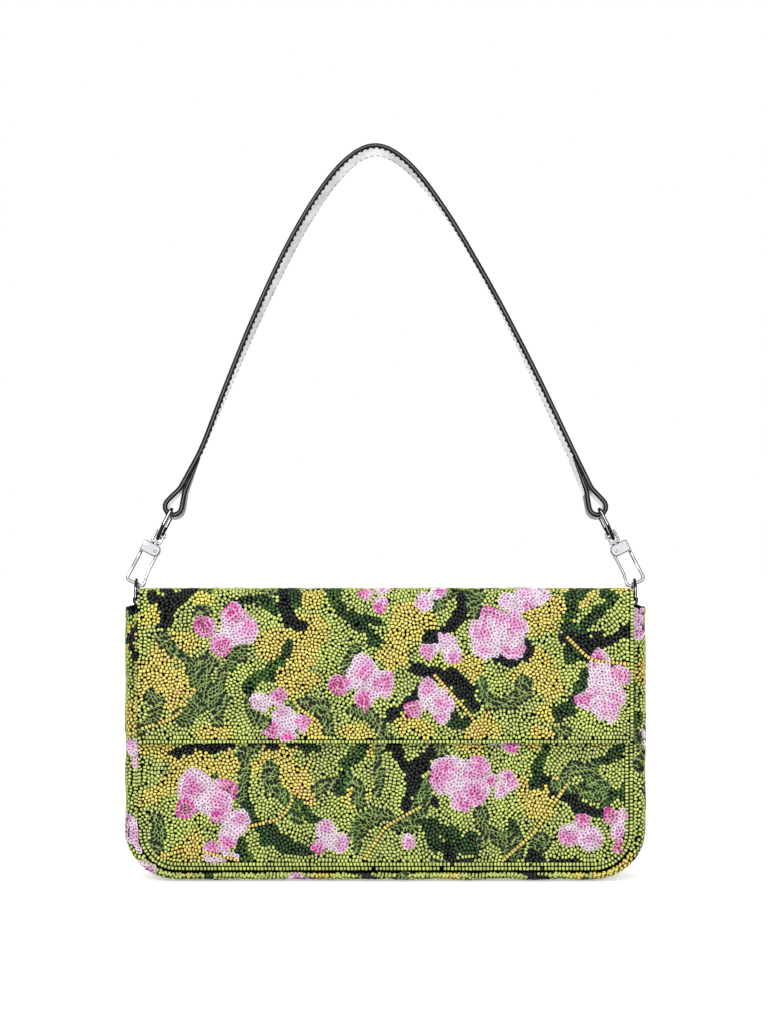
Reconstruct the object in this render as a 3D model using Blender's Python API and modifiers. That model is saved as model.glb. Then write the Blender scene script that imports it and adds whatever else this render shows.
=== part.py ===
"""A beaded baguette shoulder bag with a flap, two side rings and a clip-on leather strap.

Frame: metres, +Z up, the flap faces -Y, the origin is the middle of the base on the surface
that the bag stands on. Every piece is an object of its own. A moving piece hangs from an
empty that lies on the axis it turns about.
"""

import math

import bmesh
import bpy
from mathutils import Vector

MM = 0.001

# Clearances
TOUCH_GAP = 0.3 * MM
RUNNING_GAP = 0.15 * MM
CUT_OVERRUN = 2.0 * MM

# Body
PANEL_WIDTH = 262.0 * MM
PANEL_TOP = 153.3 * MM
PANEL_THICKNESS = 2.6 * MM
PANEL_CORNER_RADIUS = 21.0 * MM
BODY_DEPTH = 50.0 * MM
GUSSET_WALL = 1.8 * MM
GUSSET_BELOW_TOP = 7.8 * MM
GUSSET_SIDE_BULGE = 8.5 * MM
GUSSET_BASE_BULGE = 6.5 * MM
GUSSET_TAPER_LENGTH = 30.0 * MM
GUSSET_TAPER_SHARE = 0.06
GUSSET_ACROSS_SHARES = ((-1.0, 0.0), (-0.96, 0.4), (-0.87, 0.76), (-0.7, 1.0),
                        (0.7, 1.0), (0.87, 0.76), (0.96, 0.4), (1.0, 0.0))

# Stiffening boards and lining
SIDE_BOARD_THICKNESS = 1.2 * MM
SIDE_BOARD_BELOW_TOP = 7.3 * MM
BASE_BOARD_END_GAP = 7.0 * MM
BASE_BOARD_SIDE_GAP = 8.1 * MM
BASE_BOARD_THICKNESS = 1.5 * MM
BASE_BOARD_CORNER = 4.0 * MM
LINING_WALL = 0.8 * MM
LINING_BELOW_TOP = 3.3 * MM
POCKET_WIDTH = 130.0 * MM
POCKET_HEIGHT = 78.0 * MM
POCKET_BELOW_LINING = 24.0 * MM
POCKET_SHEET = 0.6 * MM
POCKET_SLOT = 1.2 * MM
POCKET_CORNER = 8.0 * MM

# Flap
FLAP_SHEET = 2.0 * MM
FLAP_LINING = 1.0 * MM
FLAP_DROP = 80.6 * MM
FLAP_CLEARANCE = 0.6 * MM
FLAP_CORNER_RADIUS = 3.0 * MM
FLAP_FOLD_RADIUS = 1.6 * MM
FLAP_LINING_INSET = 2.5 * MM
TOP_STRIP_DEPTH = 17.2 * MM

# Magnetic closure under the flap
MAGNET_ABOVE_EDGE = 18.0 * MM
MAGNET_RADIUS = 7.0 * MM
MAGNET_THICKNESS = 1.2 * MM
MAGNET_HOLE_RADIUS = 3.2 * MM
STUD_RADIUS = 2.0 * MM
STUD_TIP_RADIUS = 1.5 * MM
STUD_LENGTH = 1.5 * MM
STUD_PLATE = 0.8 * MM

# Side rings and the leather tabs that hold them
RING_FROM_BACK = 13.0 * MM
RING_BAR_RISE = 3.3 * MM
RING_WIRE = 0.95 * MM
RING_BOW_RADIUS = 6.3 * MM
RING_RISE = 4.2 * MM
RING_CORNER = 1.5 * MM
TAB_WIDTH = 8.0 * MM
TAB_LEATHER = 0.8 * MM
TAB_LENGTH = 26.0 * MM
TAB_CLEARANCE = 0.94 * MM

# Strap clips, along the clip from the hook bar and across it towards the bag's middle
STRAP_LEAN_BACK = math.radians(8.0)
CLIP_LEAN = math.radians(26.5)
HOOK_WIRE = 0.9 * MM
HOOK_OUTSIDE = 5.2 * MM
HOOK_INSIDE = 4.3 * MM
HOOK_TIP_SPREAD = 0.3 * MM
HOOK_TIP = 3.2 * MM
HOOK_OUTSIDE_CORNER = 2.6 * MM
HOOK_INSIDE_CORNER = 2.0 * MM
CAP_BOTTOM = 17.5 * MM
CAP_TOP = 23.9 * MM
CAP_THICKNESS = 4.2 * MM
CAP_SQUARE_CORNER = 0.8 * MM
CAP_ROUND_CORNER = 2.6 * MM
CAP_SLOT_WIDTH = 2.5 * MM
CAP_SLOT_INSIDE = 0.6 * MM
CAP_SLOT_ROOM = 0.2 * MM
GATE_PIVOT_ACROSS = 1.7 * MM
GATE_PIVOT_UP = 20.3 * MM
GATE_ROOT_RADIUS = 1.4 * MM
GATE_ARM = 1.6 * MM
GATE_WIDTH = 2.0 * MM
GATE_LENGTH = 16.5 * MM
GATE_NOSE = 0.7 * MM
GATE_NOSE_LENGTH = 4.0 * MM
GATE_CORNER = 0.3 * MM
GATE_PIN_RADIUS = 0.8 * MM
GATE_PIN_LENGTH = 4.5 * MM
SWIVEL_WIDTH = 6.2 * MM
SWIVEL_HEIGHT = 7.4 * MM
SWIVEL_CHEEK = 1.2 * MM
SWIVEL_DEPTH = 3.8 * MM
SWIVEL_FLOOR = 1.3 * MM
SWIVEL_CORNER = 1.1 * MM
STEM_RADIUS = 1.5 * MM
STEM_DEPTH = 1.4 * MM
CROSS_PIN_RADIUS = 0.7 * MM
CROSS_PIN_RISE = 5.1 * MM
CROSS_PIN_LENGTH = 6.8 * MM
EYE_WIRE = 1.1 * MM
EYE_INNER_WIDTH = 12.6 * MM
EYE_NECK = 2.6 * MM
EYE_NECK_CORNER = 1.3 * MM
EYE_SHOULDER = 35.0 * MM
EYE_SHOULDER_CORNER = 3.0 * MM
EYE_TOP = 44.5 * MM
EYE_TOP_CORNER = 1.8 * MM

# Strap
STRAP_WIDTH = 12.0 * MM
STRAP_LAYER = 1.2 * MM
STRAP_RISE = 251.5 * MM
STRAP_PEAK_SHIFT = -5.4 * MM
STRAP_PEAK_HANDLE = 36.2 * MM
STRAP_LEG_HANDLE = 24.0 * MM
LOOP_RADIUS = 3.25 * MM
LOOP_SPLIT = 10.6 * MM
FOLD_BACK = 20.0 * MM

# How finely round shapes are cut
CORNER_STEPS = 6
BOW_STEPS = 6
PIN_SIDES = 16
DISC_SIDES = 28
WIRE_RESOLUTION = 2
ARCH_STEPS = 22
LOOP_STEPS = 12

# Places that follow from the sizes above
HALF_PANEL = PANEL_WIDTH / 2
HALF_DEPTH = BODY_DEPTH / 2
PANEL_BOTTOM = GUSSET_BASE_BULGE
GUSSET_TOP = PANEL_TOP - GUSSET_BELOW_TOP
SIDE_BOARD_TOP = PANEL_TOP - SIDE_BOARD_BELOW_TOP
LINING_TOP = PANEL_TOP - LINING_BELOW_TOP
POCKET_TOP = LINING_TOP - POCKET_BELOW_LINING
POCKET_BOTTOM = POCKET_TOP - POCKET_HEIGHT
PANEL_INNER = HALF_DEPTH - PANEL_THICKNESS
BOARD_OUTER = PANEL_INNER - TOUCH_GAP
LINING_OUTER = BOARD_OUTER - SIDE_BOARD_THICKNESS - TOUCH_GAP
INSIDE_EDGE = HALF_PANEL - GUSSET_WALL - TOUCH_GAP
INSIDE_BOTTOM = PANEL_BOTTOM + GUSSET_WALL + TOUCH_GAP
INSIDE_CORNER = PANEL_CORNER_RADIUS - GUSSET_WALL - TOUCH_GAP
BASE_BOARD_HALF_LENGTH = HALF_PANEL - PANEL_CORNER_RADIUS - BASE_BOARD_END_GAP
BASE_BOARD_HALF_DEPTH = BOARD_OUTER - BASE_BOARD_SIDE_GAP
TOP_STRIP_FRONT = HALF_DEPTH - TOP_STRIP_DEPTH
FLAP_REAR = TOP_STRIP_FRONT - TOUCH_GAP
FLAP_LINING_BOTTOM = PANEL_TOP + TOUCH_GAP
FLAP_SHEET_BOTTOM = FLAP_LINING_BOTTOM + FLAP_LINING + TOUCH_GAP
BAG_TOP = FLAP_SHEET_BOTTOM + FLAP_SHEET
FRONT_LINING_BACK = -HALF_DEPTH - FLAP_CLEARANCE
FRONT_LINING_FACE = FRONT_LINING_BACK - FLAP_LINING
FRONT_SHEET_BACK = FRONT_LINING_FACE - TOUCH_GAP
FRONT_SHEET_FACE = FRONT_SHEET_BACK - FLAP_SHEET
FLAP_FRONT_TOP = FLAP_SHEET_BOTTOM - TOUCH_GAP
FLAP_BOTTOM = FLAP_FRONT_TOP - FLAP_DROP
MAGNET_HEIGHT = FLAP_BOTTOM + MAGNET_ABOVE_EDGE
RING_BACK = HALF_DEPTH - RING_FROM_BACK
TAB_HALF_THICKNESS = TAB_LEATHER + RUNNING_GAP
GUSSET_TOP_BULGE = GUSSET_SIDE_BULGE * (1 - GUSSET_TAPER_SHARE)
RING_OUT = (HALF_PANEL + GUSSET_TOP_BULGE - GUSSET_WALL - TAB_CLEARANCE
            - TAB_HALF_THICKNESS)
RING_BAR_HEIGHT = GUSSET_TOP + RING_BAR_RISE
RING_CENTRE_HEIGHT = RING_BAR_HEIGHT + RING_RISE
RING_TOP_HEIGHT = RING_CENTRE_HEIGHT + RING_BOW_RADIUS
HOOK_SEAT = RING_WIRE + TOUCH_GAP + HOOK_WIRE
CLIP_OUT = RING_OUT + HOOK_SEAT * math.sin(CLIP_LEAN)
CLIP_HEIGHT = RING_TOP_HEIGHT - HOOK_SEAT * math.cos(CLIP_LEAN)
SWIVEL_BOTTOM = CAP_TOP + TOUCH_GAP
SWIVEL_TOP = SWIVEL_BOTTOM + SWIVEL_HEIGHT
CROSS_PIN_UP = SWIVEL_BOTTOM + CROSS_PIN_RISE
EYE_BOTTOM = CROSS_PIN_UP - CROSS_PIN_RADIUS - TOUCH_GAP - EYE_WIRE
EYE_HALF_WIDTH = EYE_INNER_WIDTH / 2 + EYE_WIRE
STRAP_THICKNESS = 2 * STRAP_LAYER + TOUCH_GAP
LOOP_CENTRE_RADIUS = LOOP_RADIUS + STRAP_THICKNESS / 2
LOOP_CENTRE_UP = EYE_TOP + LOOP_RADIUS - TOUCH_GAP - EYE_WIRE
LEG_OFFSET = (STRAP_THICKNESS + TOUCH_GAP) / 2
LEG_SPLIT_UP = LOOP_CENTRE_UP + LOOP_SPLIT
LEG_TOP_UP = LEG_SPLIT_UP + FOLD_BACK

# Colours as red, green, blue, roughness and metallic
FINISHES = {
    "beaded_fabric": (0.33, 0.42, 0.09, 0.35, 0.0),
    "lining_fabric": (0.09, 0.1, 0.05, 0.9, 0.0),
    "black_leather": (0.02, 0.02, 0.022, 0.35, 0.0),
    "board": (0.42, 0.36, 0.28, 0.9, 0.0),
    "chromed_zinc": (0.82, 0.83, 0.85, 0.12, 1.0),
    "magnet_steel": (0.6, 0.6, 0.62, 0.3, 1.0),
}


def clear_scene():
    """Remove every object so that the script gives the same bag each run."""
    for old in list(bpy.data.objects):
        bpy.data.objects.remove(old, do_unlink=True)


def new_collection(name):
    collection = bpy.data.collections.new(name)
    bpy.context.scene.collection.children.link(collection)
    return collection


def finish(name):
    """The Principled material of one finish, made once."""
    material = bpy.data.materials.get(name)
    if material is None:
        material = bpy.data.materials.new(name)
        material.use_nodes = True
        red, green, blue, roughness, metallic = FINISHES[name]
        shader = material.node_tree.nodes["Principled BSDF"]
        shader.inputs["Base Color"].default_value = (red, green, blue, 1.0)
        shader.inputs["Roughness"].default_value = roughness
        shader.inputs["Metallic"].default_value = metallic
        material.diffuse_color = (red, green, blue, 1.0)
    return material


def add_object(name, data, collection, material, parent=None):
    made = bpy.data.objects.new(name, data)
    collection.objects.link(made)
    if material:
        data.materials.append(finish(material))
    made.parent = parent
    return made


def add_empty(name, collection, place, turn=(0.0, 0.0, 0.0), parent=None):
    empty = bpy.data.objects.new(name, None)
    collection.objects.link(empty)
    empty.location = place
    empty.rotation_euler = turn
    empty.parent = parent
    return empty


def rounded(corners, radii, steps=CORNER_STEPS, closed=True):
    """A line through the corners with each one rounded to its radius."""
    points = []
    count = len(corners)
    for index, radius in enumerate(radii):
        corner = Vector(corners[index])
        if radius <= 0 or (not closed and index in (0, count - 1)):
            points.append(corner)
            continue
        back = (Vector(corners[index - 1]) - corner).normalized()
        ahead = (Vector(corners[(index + 1) % count]) - corner).normalized()
        half = back.angle(ahead) / 2
        centre = corner + (back + ahead).normalized() * radius / math.sin(half)
        start = corner + back * radius / math.tan(half) - centre
        end = corner + ahead * radius / math.tan(half) - centre
        sweep = math.pi - 2 * half
        for step in range(steps + 1):
            share = step / steps
            spoke = start * math.sin((1 - share) * sweep) + end * math.sin(share * sweep)
            points.append(centre + spoke / math.sin(sweep))
    kept = []
    for point in points:
        if not kept or (point - kept[-1]).length > RUNNING_GAP / 10:
            kept.append(point)
    return kept


def circle_line(across, up, radius, sides=PIN_SIDES):
    turns = (2 * math.pi * step / sides for step in range(sides))
    return [Vector((across + radius * math.cos(a), up + radius * math.sin(a))) for a in turns]


def flat_part(name, outlines, thickness, collection, material, parent=None):
    """A flat outline, with any holes, filled and given its thickness about its own plane."""
    curve = bpy.data.curves.new(name, "CURVE")
    curve.dimensions = "2D"
    curve.fill_mode = "BOTH"
    curve.extrude = thickness / 2
    for outline in outlines:
        spline = curve.splines.new("POLY")
        spline.points.add(len(outline) - 1)
        for point, place in zip(spline.points, outline):
            point.co = (place[0], place[1], 0.0, 1.0)
        spline.use_cyclic_u = True
    return add_object(name, curve, collection, material, parent)


def upright_part(name, outlines, near, far, collection, material, parent=None):
    """A flat part whose outline stands in X and Z, filling Y from near to far."""
    made = flat_part(name, outlines, far - near, collection, material, parent)
    made.rotation_euler = (math.pi / 2, 0.0, 0.0)
    made.location.y = (near + far) / 2
    return made


def wire_part(name, line, radius, closed, collection, material, parent=None):
    """A round wire along a line of points."""
    curve = bpy.data.curves.new(name, "CURVE")
    curve.dimensions = "3D"
    curve.bevel_depth = radius
    curve.bevel_resolution = WIRE_RESOLUTION
    curve.use_fill_caps = True
    spline = curve.splines.new("POLY")
    spline.points.add(len(line) - 1)
    for point, place in zip(spline.points, line):
        point.co = (place[0], place[1], place[2], 1.0)
    spline.use_cyclic_u = closed
    return add_object(name, curve, collection, material, parent)


def cylinder_part(name, radius, length, collection, material, parent=None, sides=PIN_SIDES):
    """A cylinder along its own Z, centred on its origin."""
    mesh = bpy.data.meshes.new(name)
    shape = bmesh.new()
    bmesh.ops.create_cone(shape, cap_ends=True, segments=sides, radius1=radius,
                          radius2=radius, depth=length)
    shape.to_mesh(mesh)
    shape.free()
    smooth(mesh)
    return add_object(name, mesh, collection, material, parent)


def turned_part(name, profile, collection, material, parent=None, closed=False):
    """A turned shape: a profile of radius and height, run down its outer side."""
    mesh = bpy.data.meshes.new(name)
    shape = bmesh.new()
    rim = [shape.verts.new((radius, 0.0, height)) for radius, height in profile]
    for first, second in zip(rim, rim[1:]):
        shape.edges.new((first, second))
    if closed:
        shape.edges.new((rim[-1], rim[0]))
    shape.to_mesh(mesh)
    shape.free()
    made = add_object(name, mesh, collection, material, parent)
    turn = made.modifiers.new("Turn", "SCREW")
    turn.axis = "Z"
    turn.angle = 2 * math.pi
    turn.steps = DISC_SIDES
    turn.render_steps = DISC_SIDES
    turn.use_merge_vertices = True
    turn.merge_threshold = RUNNING_GAP / 100
    turn.use_normal_calculate = False
    return made


def box_part(name, low, high, collection, material, parent=None):
    """A box between two corners."""
    mesh = bpy.data.meshes.new(name)
    shape = bmesh.new()
    bmesh.ops.create_cube(shape, size=1.0)
    shape.to_mesh(mesh)
    shape.free()
    for vertex in mesh.vertices:
        vertex.co = [a + (b - a) * (c + 0.5) for a, b, c in zip(low, high, vertex.co)]
    return add_object(name, mesh, collection, material, parent)


def smooth(mesh):
    mesh.shade_smooth()
    mesh.set_sharp_from_angle(angle=math.radians(35.0))


def as_mesh(made):
    """Turn a curve into a closed mesh, so that it can be cut or joined."""
    bpy.context.view_layer.update()
    graph = bpy.context.evaluated_depsgraph_get()
    mesh = bpy.data.meshes.new_from_object(made.evaluated_get(graph))
    shape = bmesh.new()
    shape.from_mesh(mesh)
    bmesh.ops.remove_doubles(shape, verts=shape.verts, dist=RUNNING_GAP / 100)
    bmesh.ops.recalc_face_normals(shape, faces=shape.faces)
    shape.to_mesh(mesh)
    shape.free()
    name = made.name
    parent = made.parent
    place = made.matrix_basis.copy()
    homes = list(made.users_collection)
    bpy.data.objects.remove(made, do_unlink=True)
    mesh.name = name
    fresh = bpy.data.objects.new(name, mesh)
    for home in homes:
        home.objects.link(fresh)
    fresh.parent = parent
    fresh.matrix_basis = place
    return fresh


def as_tool(tool):
    """Hide a piece that only cuts or joins."""
    tool.hide_render = True
    tool.display_type = "WIRE"
    return tool


def cut_or_join(piece, tool, operation):
    change = piece.modifiers.new(operation.title(), "BOOLEAN")
    change.operation = operation
    change.object = as_tool(tool)
    return piece


def body_outline(half_width, bottom, top, radius):
    """The bag's front outline: square at the top, rounded at the bottom."""
    corners = ((half_width, top), (half_width, bottom), (-half_width, bottom), (-half_width, top))
    return rounded(corners, (0.0, radius, radius, 0.0))


def make_panels(parts, tools):
    """The beaded front and back of the body, each a stiffened sheet."""
    outline = body_outline(HALF_PANEL, PANEL_BOTTOM, PANEL_TOP, PANEL_CORNER_RADIUS)
    front = upright_part("front_panel", [outline], -HALF_DEPTH, -PANEL_INNER, parts,
                         "beaded_fabric")
    front = as_mesh(front)
    pocket = cylinder_part("front_panel_magnet_seat", MAGNET_RADIUS + TOUCH_GAP,
                           2 * (MAGNET_THICKNESS + TOUCH_GAP), tools, None, sides=DISC_SIDES)
    pocket.rotation_euler = (math.pi / 2, 0.0, 0.0)
    pocket.location = (0.0, -HALF_DEPTH, MAGNET_HEIGHT)
    cut_or_join(front, pocket, "DIFFERENCE")
    upright_part("back_panel", [outline], PANEL_INNER, HALF_DEPTH, parts, "beaded_fabric")


def gusset_line():
    """The seam line that the gusset follows, with the outward way and its distance below the top."""
    start = Vector((-HALF_PANEL, GUSSET_TOP))
    outline = body_outline(HALF_PANEL, PANEL_BOTTOM, GUSSET_TOP, PANEL_CORNER_RADIUS)
    line = list(reversed(outline))
    line.insert(1, start - Vector((0.0, GUSSET_TAPER_LENGTH / 3)))
    line.insert(2, start - Vector((0.0, 2 * GUSSET_TAPER_LENGTH / 3)))
    line.insert(3, start - Vector((0.0, GUSSET_TAPER_LENGTH)))
    end = Vector((HALF_PANEL, GUSSET_TOP))
    for part in (3, 2, 1):
        line.insert(len(line) - 1, end - Vector((0.0, part * GUSSET_TAPER_LENGTH / 3)))
    ways = []
    for index in range(len(line)):
        ahead = line[min(index + 1, len(line) - 1)] - line[max(index - 1, 0)]
        ways.append(Vector((ahead.y, -ahead.x)).normalized())
    return line, ways


def make_gusset(parts):
    """The beaded strip that joins the panels, bulging at the sides and flat under the base."""
    line, ways = gusset_line()
    half = BOARD_OUTER
    mesh = bpy.data.meshes.new("gusset")
    shape = bmesh.new()
    rows = []
    for place, way in zip(line, ways):
        bulge = GUSSET_SIDE_BULGE * way.x ** 2 + GUSSET_BASE_BULGE * way.y ** 2
        near_top = max(0.0, 1.0 - (GUSSET_TOP - place.y) / GUSSET_TAPER_LENGTH)
        bulge *= 1.0 - GUSSET_TAPER_SHARE * near_top
        row = []
        for across, out in GUSSET_ACROSS_SHARES:
            spot = place + way * bulge * out
            row.append(shape.verts.new((spot.x, across * half, spot.y)))
        rows.append(row)
    for row, after in zip(rows, rows[1:]):
        for index in range(len(row) - 1):
            shape.faces.new((row[index], row[index + 1], after[index + 1], after[index]))
    shape.normal_update()
    shape.faces.ensure_lookup_table()
    if shape.faces[0].normal.x > 0:
        bmesh.ops.reverse_faces(shape, faces=shape.faces)
    shape.to_mesh(mesh)
    shape.free()
    made = add_object("gusset", mesh, parts, "beaded_fabric")
    wall = made.modifiers.new("Wall", "SOLIDIFY")
    wall.thickness = GUSSET_WALL
    wall.offset = -1.0
    wall.use_even_offset = True
    smooth(mesh)


def make_boards(parts):
    """The boards that keep the panels and the base flat."""
    outline = body_outline(INSIDE_EDGE, INSIDE_BOTTOM, SIDE_BOARD_TOP, INSIDE_CORNER)
    inner = BOARD_OUTER - SIDE_BOARD_THICKNESS
    upright_part("front_board", [outline], -BOARD_OUTER, -inner, parts, "board")
    upright_part("back_board", [outline], inner, BOARD_OUTER, parts, "board")
    half = BASE_BOARD_HALF_LENGTH
    deep = BASE_BOARD_HALF_DEPTH
    corners = ((half, deep), (-half, deep), (-half, -deep), (half, -deep))
    base = flat_part("base_board", [rounded(corners, [BASE_BOARD_CORNER] * 4)],
                     BASE_BOARD_THICKNESS, parts, "board")
    base.location.z = GUSSET_WALL + TOUCH_GAP + BASE_BOARD_THICKNESS / 2


def make_lining(parts, tools):
    """The cloth pouch inside, open at the top."""
    outline = body_outline(INSIDE_EDGE, INSIDE_BOTTOM, LINING_TOP, INSIDE_CORNER)
    lining = as_mesh(upright_part("lining", [outline], -LINING_OUTER, LINING_OUTER, parts,
                                  "lining_fabric"))
    inner = body_outline(INSIDE_EDGE - LINING_WALL, INSIDE_BOTTOM + LINING_WALL,
                         LINING_TOP + CUT_OVERRUN, INSIDE_CORNER - LINING_WALL)
    room = LINING_OUTER - LINING_WALL
    hollow = as_mesh(upright_part("lining_hollow", [inner], -room, room, tools, None))
    cut_or_join(lining, hollow, "DIFFERENCE")


def make_inner_pocket(parts, tools):
    """A slip pocket sewn to the back of the lining, open at the top."""
    back = LINING_OUTER - LINING_WALL - TOUCH_GAP
    front = back - 2 * POCKET_SHEET - POCKET_SLOT
    half = POCKET_WIDTH / 2
    top = POCKET_TOP
    outline = body_outline(half, POCKET_BOTTOM, top, POCKET_CORNER)
    pocket = as_mesh(upright_part("inner_pocket", [outline], front, back, parts, "lining_fabric"))
    inner = body_outline(half - POCKET_SHEET, POCKET_BOTTOM + POCKET_SHEET, top + CUT_OVERRUN,
                         POCKET_CORNER - POCKET_SHEET)
    slot = as_mesh(upright_part("inner_pocket_slot", [inner], front + POCKET_SHEET,
                                back - POCKET_SHEET, tools, None))
    cut_or_join(pocket, slot, "DIFFERENCE")


def along_x(name, corners, radii, half_width, collection, material, parent=None):
    """A profile in Y and Z, run along X."""
    made = flat_part(name, [rounded(corners, radii)], 2 * half_width, collection, material, parent)
    made.rotation_euler = (math.pi / 2, 0.0, math.pi / 2)
    return made


def make_top_strip(parts):
    """The strip behind the flap's fold, sewn to the back panel."""
    front = TOP_STRIP_FRONT
    corners = ((front, FLAP_LINING_BOTTOM), (HALF_DEPTH, FLAP_LINING_BOTTOM),
               (HALF_DEPTH, BAG_TOP), (front, BAG_TOP))
    along_x("top_strip", corners, (0.0, 0.0, FLAP_FOLD_RADIUS, 0.0),
            HALF_PANEL - FLAP_LINING_INSET, parts, "beaded_fabric")


def make_flap(parts, tools):
    """The flap: a top that lifts about its rear fold and a front that folds at the edge."""
    lift = add_empty("flap_lift_axis", parts, (0.0, FLAP_REAR, BAG_TOP))
    sheet_drop = FLAP_SHEET_BOTTOM - BAG_TOP
    lining_drop = FLAP_LINING_BOTTOM - BAG_TOP
    face = FRONT_SHEET_FACE - FLAP_REAR
    corners = ((face, sheet_drop), (0.0, sheet_drop), (0.0, 0.0), (face, 0.0))
    along_x("flap_top", corners, (0.0, 0.0, 0.0, FLAP_FOLD_RADIUS), HALF_PANEL, parts,
            "beaded_fabric", lift)
    face = FRONT_LINING_FACE - FLAP_REAR
    corners = ((face, lining_drop), (0.0, lining_drop),
               (0.0, lining_drop + FLAP_LINING), (face, lining_drop + FLAP_LINING))
    along_x("flap_top_lining", corners, [0.0] * 4, HALF_PANEL - FLAP_LINING_INSET, parts,
            "lining_fabric", lift)
    fold_height = FLAP_FRONT_TOP + TOUCH_GAP / 2
    fold = add_empty("flap_fold_axis", parts,
                     (0.0, FRONT_SHEET_FACE - FLAP_REAR, fold_height - BAG_TOP), parent=lift)
    make_flap_front(parts, tools, fold, fold_height)


def make_flap_front(parts, tools, fold, fold_height):
    """The hanging part of the flap, its lining and the stud of the magnetic closure."""
    bottom = FLAP_BOTTOM - fold_height
    outline = body_outline(HALF_PANEL, bottom, FLAP_FRONT_TOP - fold_height, FLAP_CORNER_RADIUS)
    upright_part("flap_front", [outline], 0.0, FLAP_SHEET, parts, "beaded_fabric", fold)
    outline = body_outline(HALF_PANEL - FLAP_LINING_INSET, bottom + FLAP_LINING_INSET,
                           PANEL_TOP - fold_height, FLAP_CORNER_RADIUS)
    seat = circle_line(0.0, MAGNET_HEIGHT - fold_height, MAGNET_RADIUS + TOUCH_GAP, DISC_SIDES)
    near = FLAP_SHEET + TOUCH_GAP
    upright_part("flap_front_lining", [outline, seat], near, near + FLAP_LINING, parts,
                 "lining_fabric", fold)
    profile = ((0.0, STUD_PLATE + STUD_LENGTH), (STUD_TIP_RADIUS, STUD_PLATE + STUD_LENGTH),
               (STUD_RADIUS, STUD_PLATE), (MAGNET_RADIUS, STUD_PLATE), (MAGNET_RADIUS, 0.0),
               (0.0, 0.0))
    stud = turned_part("magnet_stud", profile, parts, "magnet_steel", fold)
    stud.rotation_euler = (-math.pi / 2, 0.0, 0.0)
    stud.location = (0.0, near + TOUCH_GAP / 2, MAGNET_HEIGHT - fold_height)


def make_magnet_socket(parts):
    """The ring of the closure, let into the front panel."""
    profile = ((MAGNET_HOLE_RADIUS, MAGNET_THICKNESS), (MAGNET_RADIUS, MAGNET_THICKNESS),
               (MAGNET_RADIUS, 0.0), (MAGNET_HOLE_RADIUS, 0.0))
    socket = turned_part("magnet_socket", profile, parts, "magnet_steel", closed=True)
    socket.rotation_euler = (math.pi / 2, 0.0, 0.0)
    socket.location = (0.0, -HALF_DEPTH + MAGNET_THICKNESS, MAGNET_HEIGHT)


def make_ring(side, parts):
    """One side ring on its leather tab. The tab runs down behind the gusset's top edge."""
    word = "left" if side < 0 else "right"
    hole = RING_WIRE + RUNNING_GAP
    outer = hole + TAB_LEATHER
    sweep = (math.pi * step / LOOP_STEPS for step in range(LOOP_STEPS + 1))
    arch = [Vector((outer * math.cos(a), outer * math.sin(a))) for a in sweep]
    leg = TAB_HALF_THICKNESS
    outline = arch + [Vector((-leg, -outer)), Vector((-leg, -TAB_LENGTH)),
                      Vector((leg, -TAB_LENGTH)), Vector((leg, -outer))]
    tab = upright_part("tab_" + word, [outline, circle_line(0.0, 0.0, hole)],
                       RING_BACK - TAB_WIDTH / 2, RING_BACK + TAB_WIDTH / 2, parts,
                       "black_leather")
    tab.location.x = side * RING_OUT
    tab.location.z = RING_BAR_HEIGHT
    axis = add_empty("d_ring_axis_" + word, parts, (side * RING_OUT, RING_BACK, RING_BAR_HEIGHT))
    top = RING_RISE + RING_BOW_RADIUS
    bow = RING_BOW_RADIUS
    corners = ((0.0, -bow, 0.0), (0.0, bow, 0.0), (0.0, bow, top), (0.0, -bow, top))
    line = rounded(corners, (RING_CORNER, RING_CORNER, bow, bow), BOW_STEPS)
    wire_part("d_ring_" + word, line, RING_WIRE, True, parts, "chromed_zinc", axis)


def make_clip_body(word, turn, parts, tools):
    """The clip's slotted cap with the hook's wire frame grown from it."""
    outside = -HOOK_OUTSIDE - HOOK_WIRE
    corners = ((outside, CAP_BOTTOM), (HOOK_INSIDE, CAP_BOTTOM), (HOOK_INSIDE, CAP_TOP),
               (outside, CAP_TOP))
    radii = (CAP_SQUARE_CORNER, CAP_ROUND_CORNER, CAP_ROUND_CORNER, CAP_SQUARE_CORNER)
    rivet = circle_line(GATE_PIVOT_ACROSS, GATE_PIVOT_UP, GATE_PIN_RADIUS + RUNNING_GAP)
    cap = upright_part("clip_body_" + word, [rounded(corners, radii), rivet], -CAP_THICKNESS / 2,
                       CAP_THICKNESS / 2, parts, "chromed_zinc", turn)
    cap = as_mesh(cap)
    corners = ((-HOOK_OUTSIDE, 0.0, CAP_BOTTOM + CAP_SQUARE_CORNER), (-HOOK_OUTSIDE, 0.0, 0.0),
               (HOOK_INSIDE, 0.0, 0.0), (HOOK_INSIDE + HOOK_TIP_SPREAD, 0.0, HOOK_TIP))
    line = rounded(corners, (0.0, HOOK_OUTSIDE_CORNER, HOOK_INSIDE_CORNER, 0.0), closed=False)
    hook = as_mesh(wire_part("clip_hook_" + word, line, HOOK_WIRE, False, tools, None, turn))
    cut_or_join(cap, hook, "UNION")
    half_slot = CAP_SLOT_WIDTH / 2
    slot_top = GATE_PIVOT_UP + GATE_ROOT_RADIUS + CAP_SLOT_ROOM
    slot = box_part("clip_slot_" + word, (-CAP_SLOT_INSIDE, -half_slot, CAP_BOTTOM - CUT_OVERRUN),
                    (HOOK_INSIDE + CUT_OVERRUN, half_slot, slot_top), tools, None, turn)
    cut_or_join(cap, slot, "DIFFERENCE")
    bore_bottom = SWIVEL_BOTTOM - STEM_DEPTH - 2 * TOUCH_GAP
    bore = cylinder_part("clip_bore_" + word, STEM_RADIUS + RUNNING_GAP, 2 * CUT_OVERRUN, tools,
                         None, turn)
    bore.location.z = bore_bottom + CUT_OVERRUN
    cut_or_join(cap, bore, "DIFFERENCE")


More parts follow.
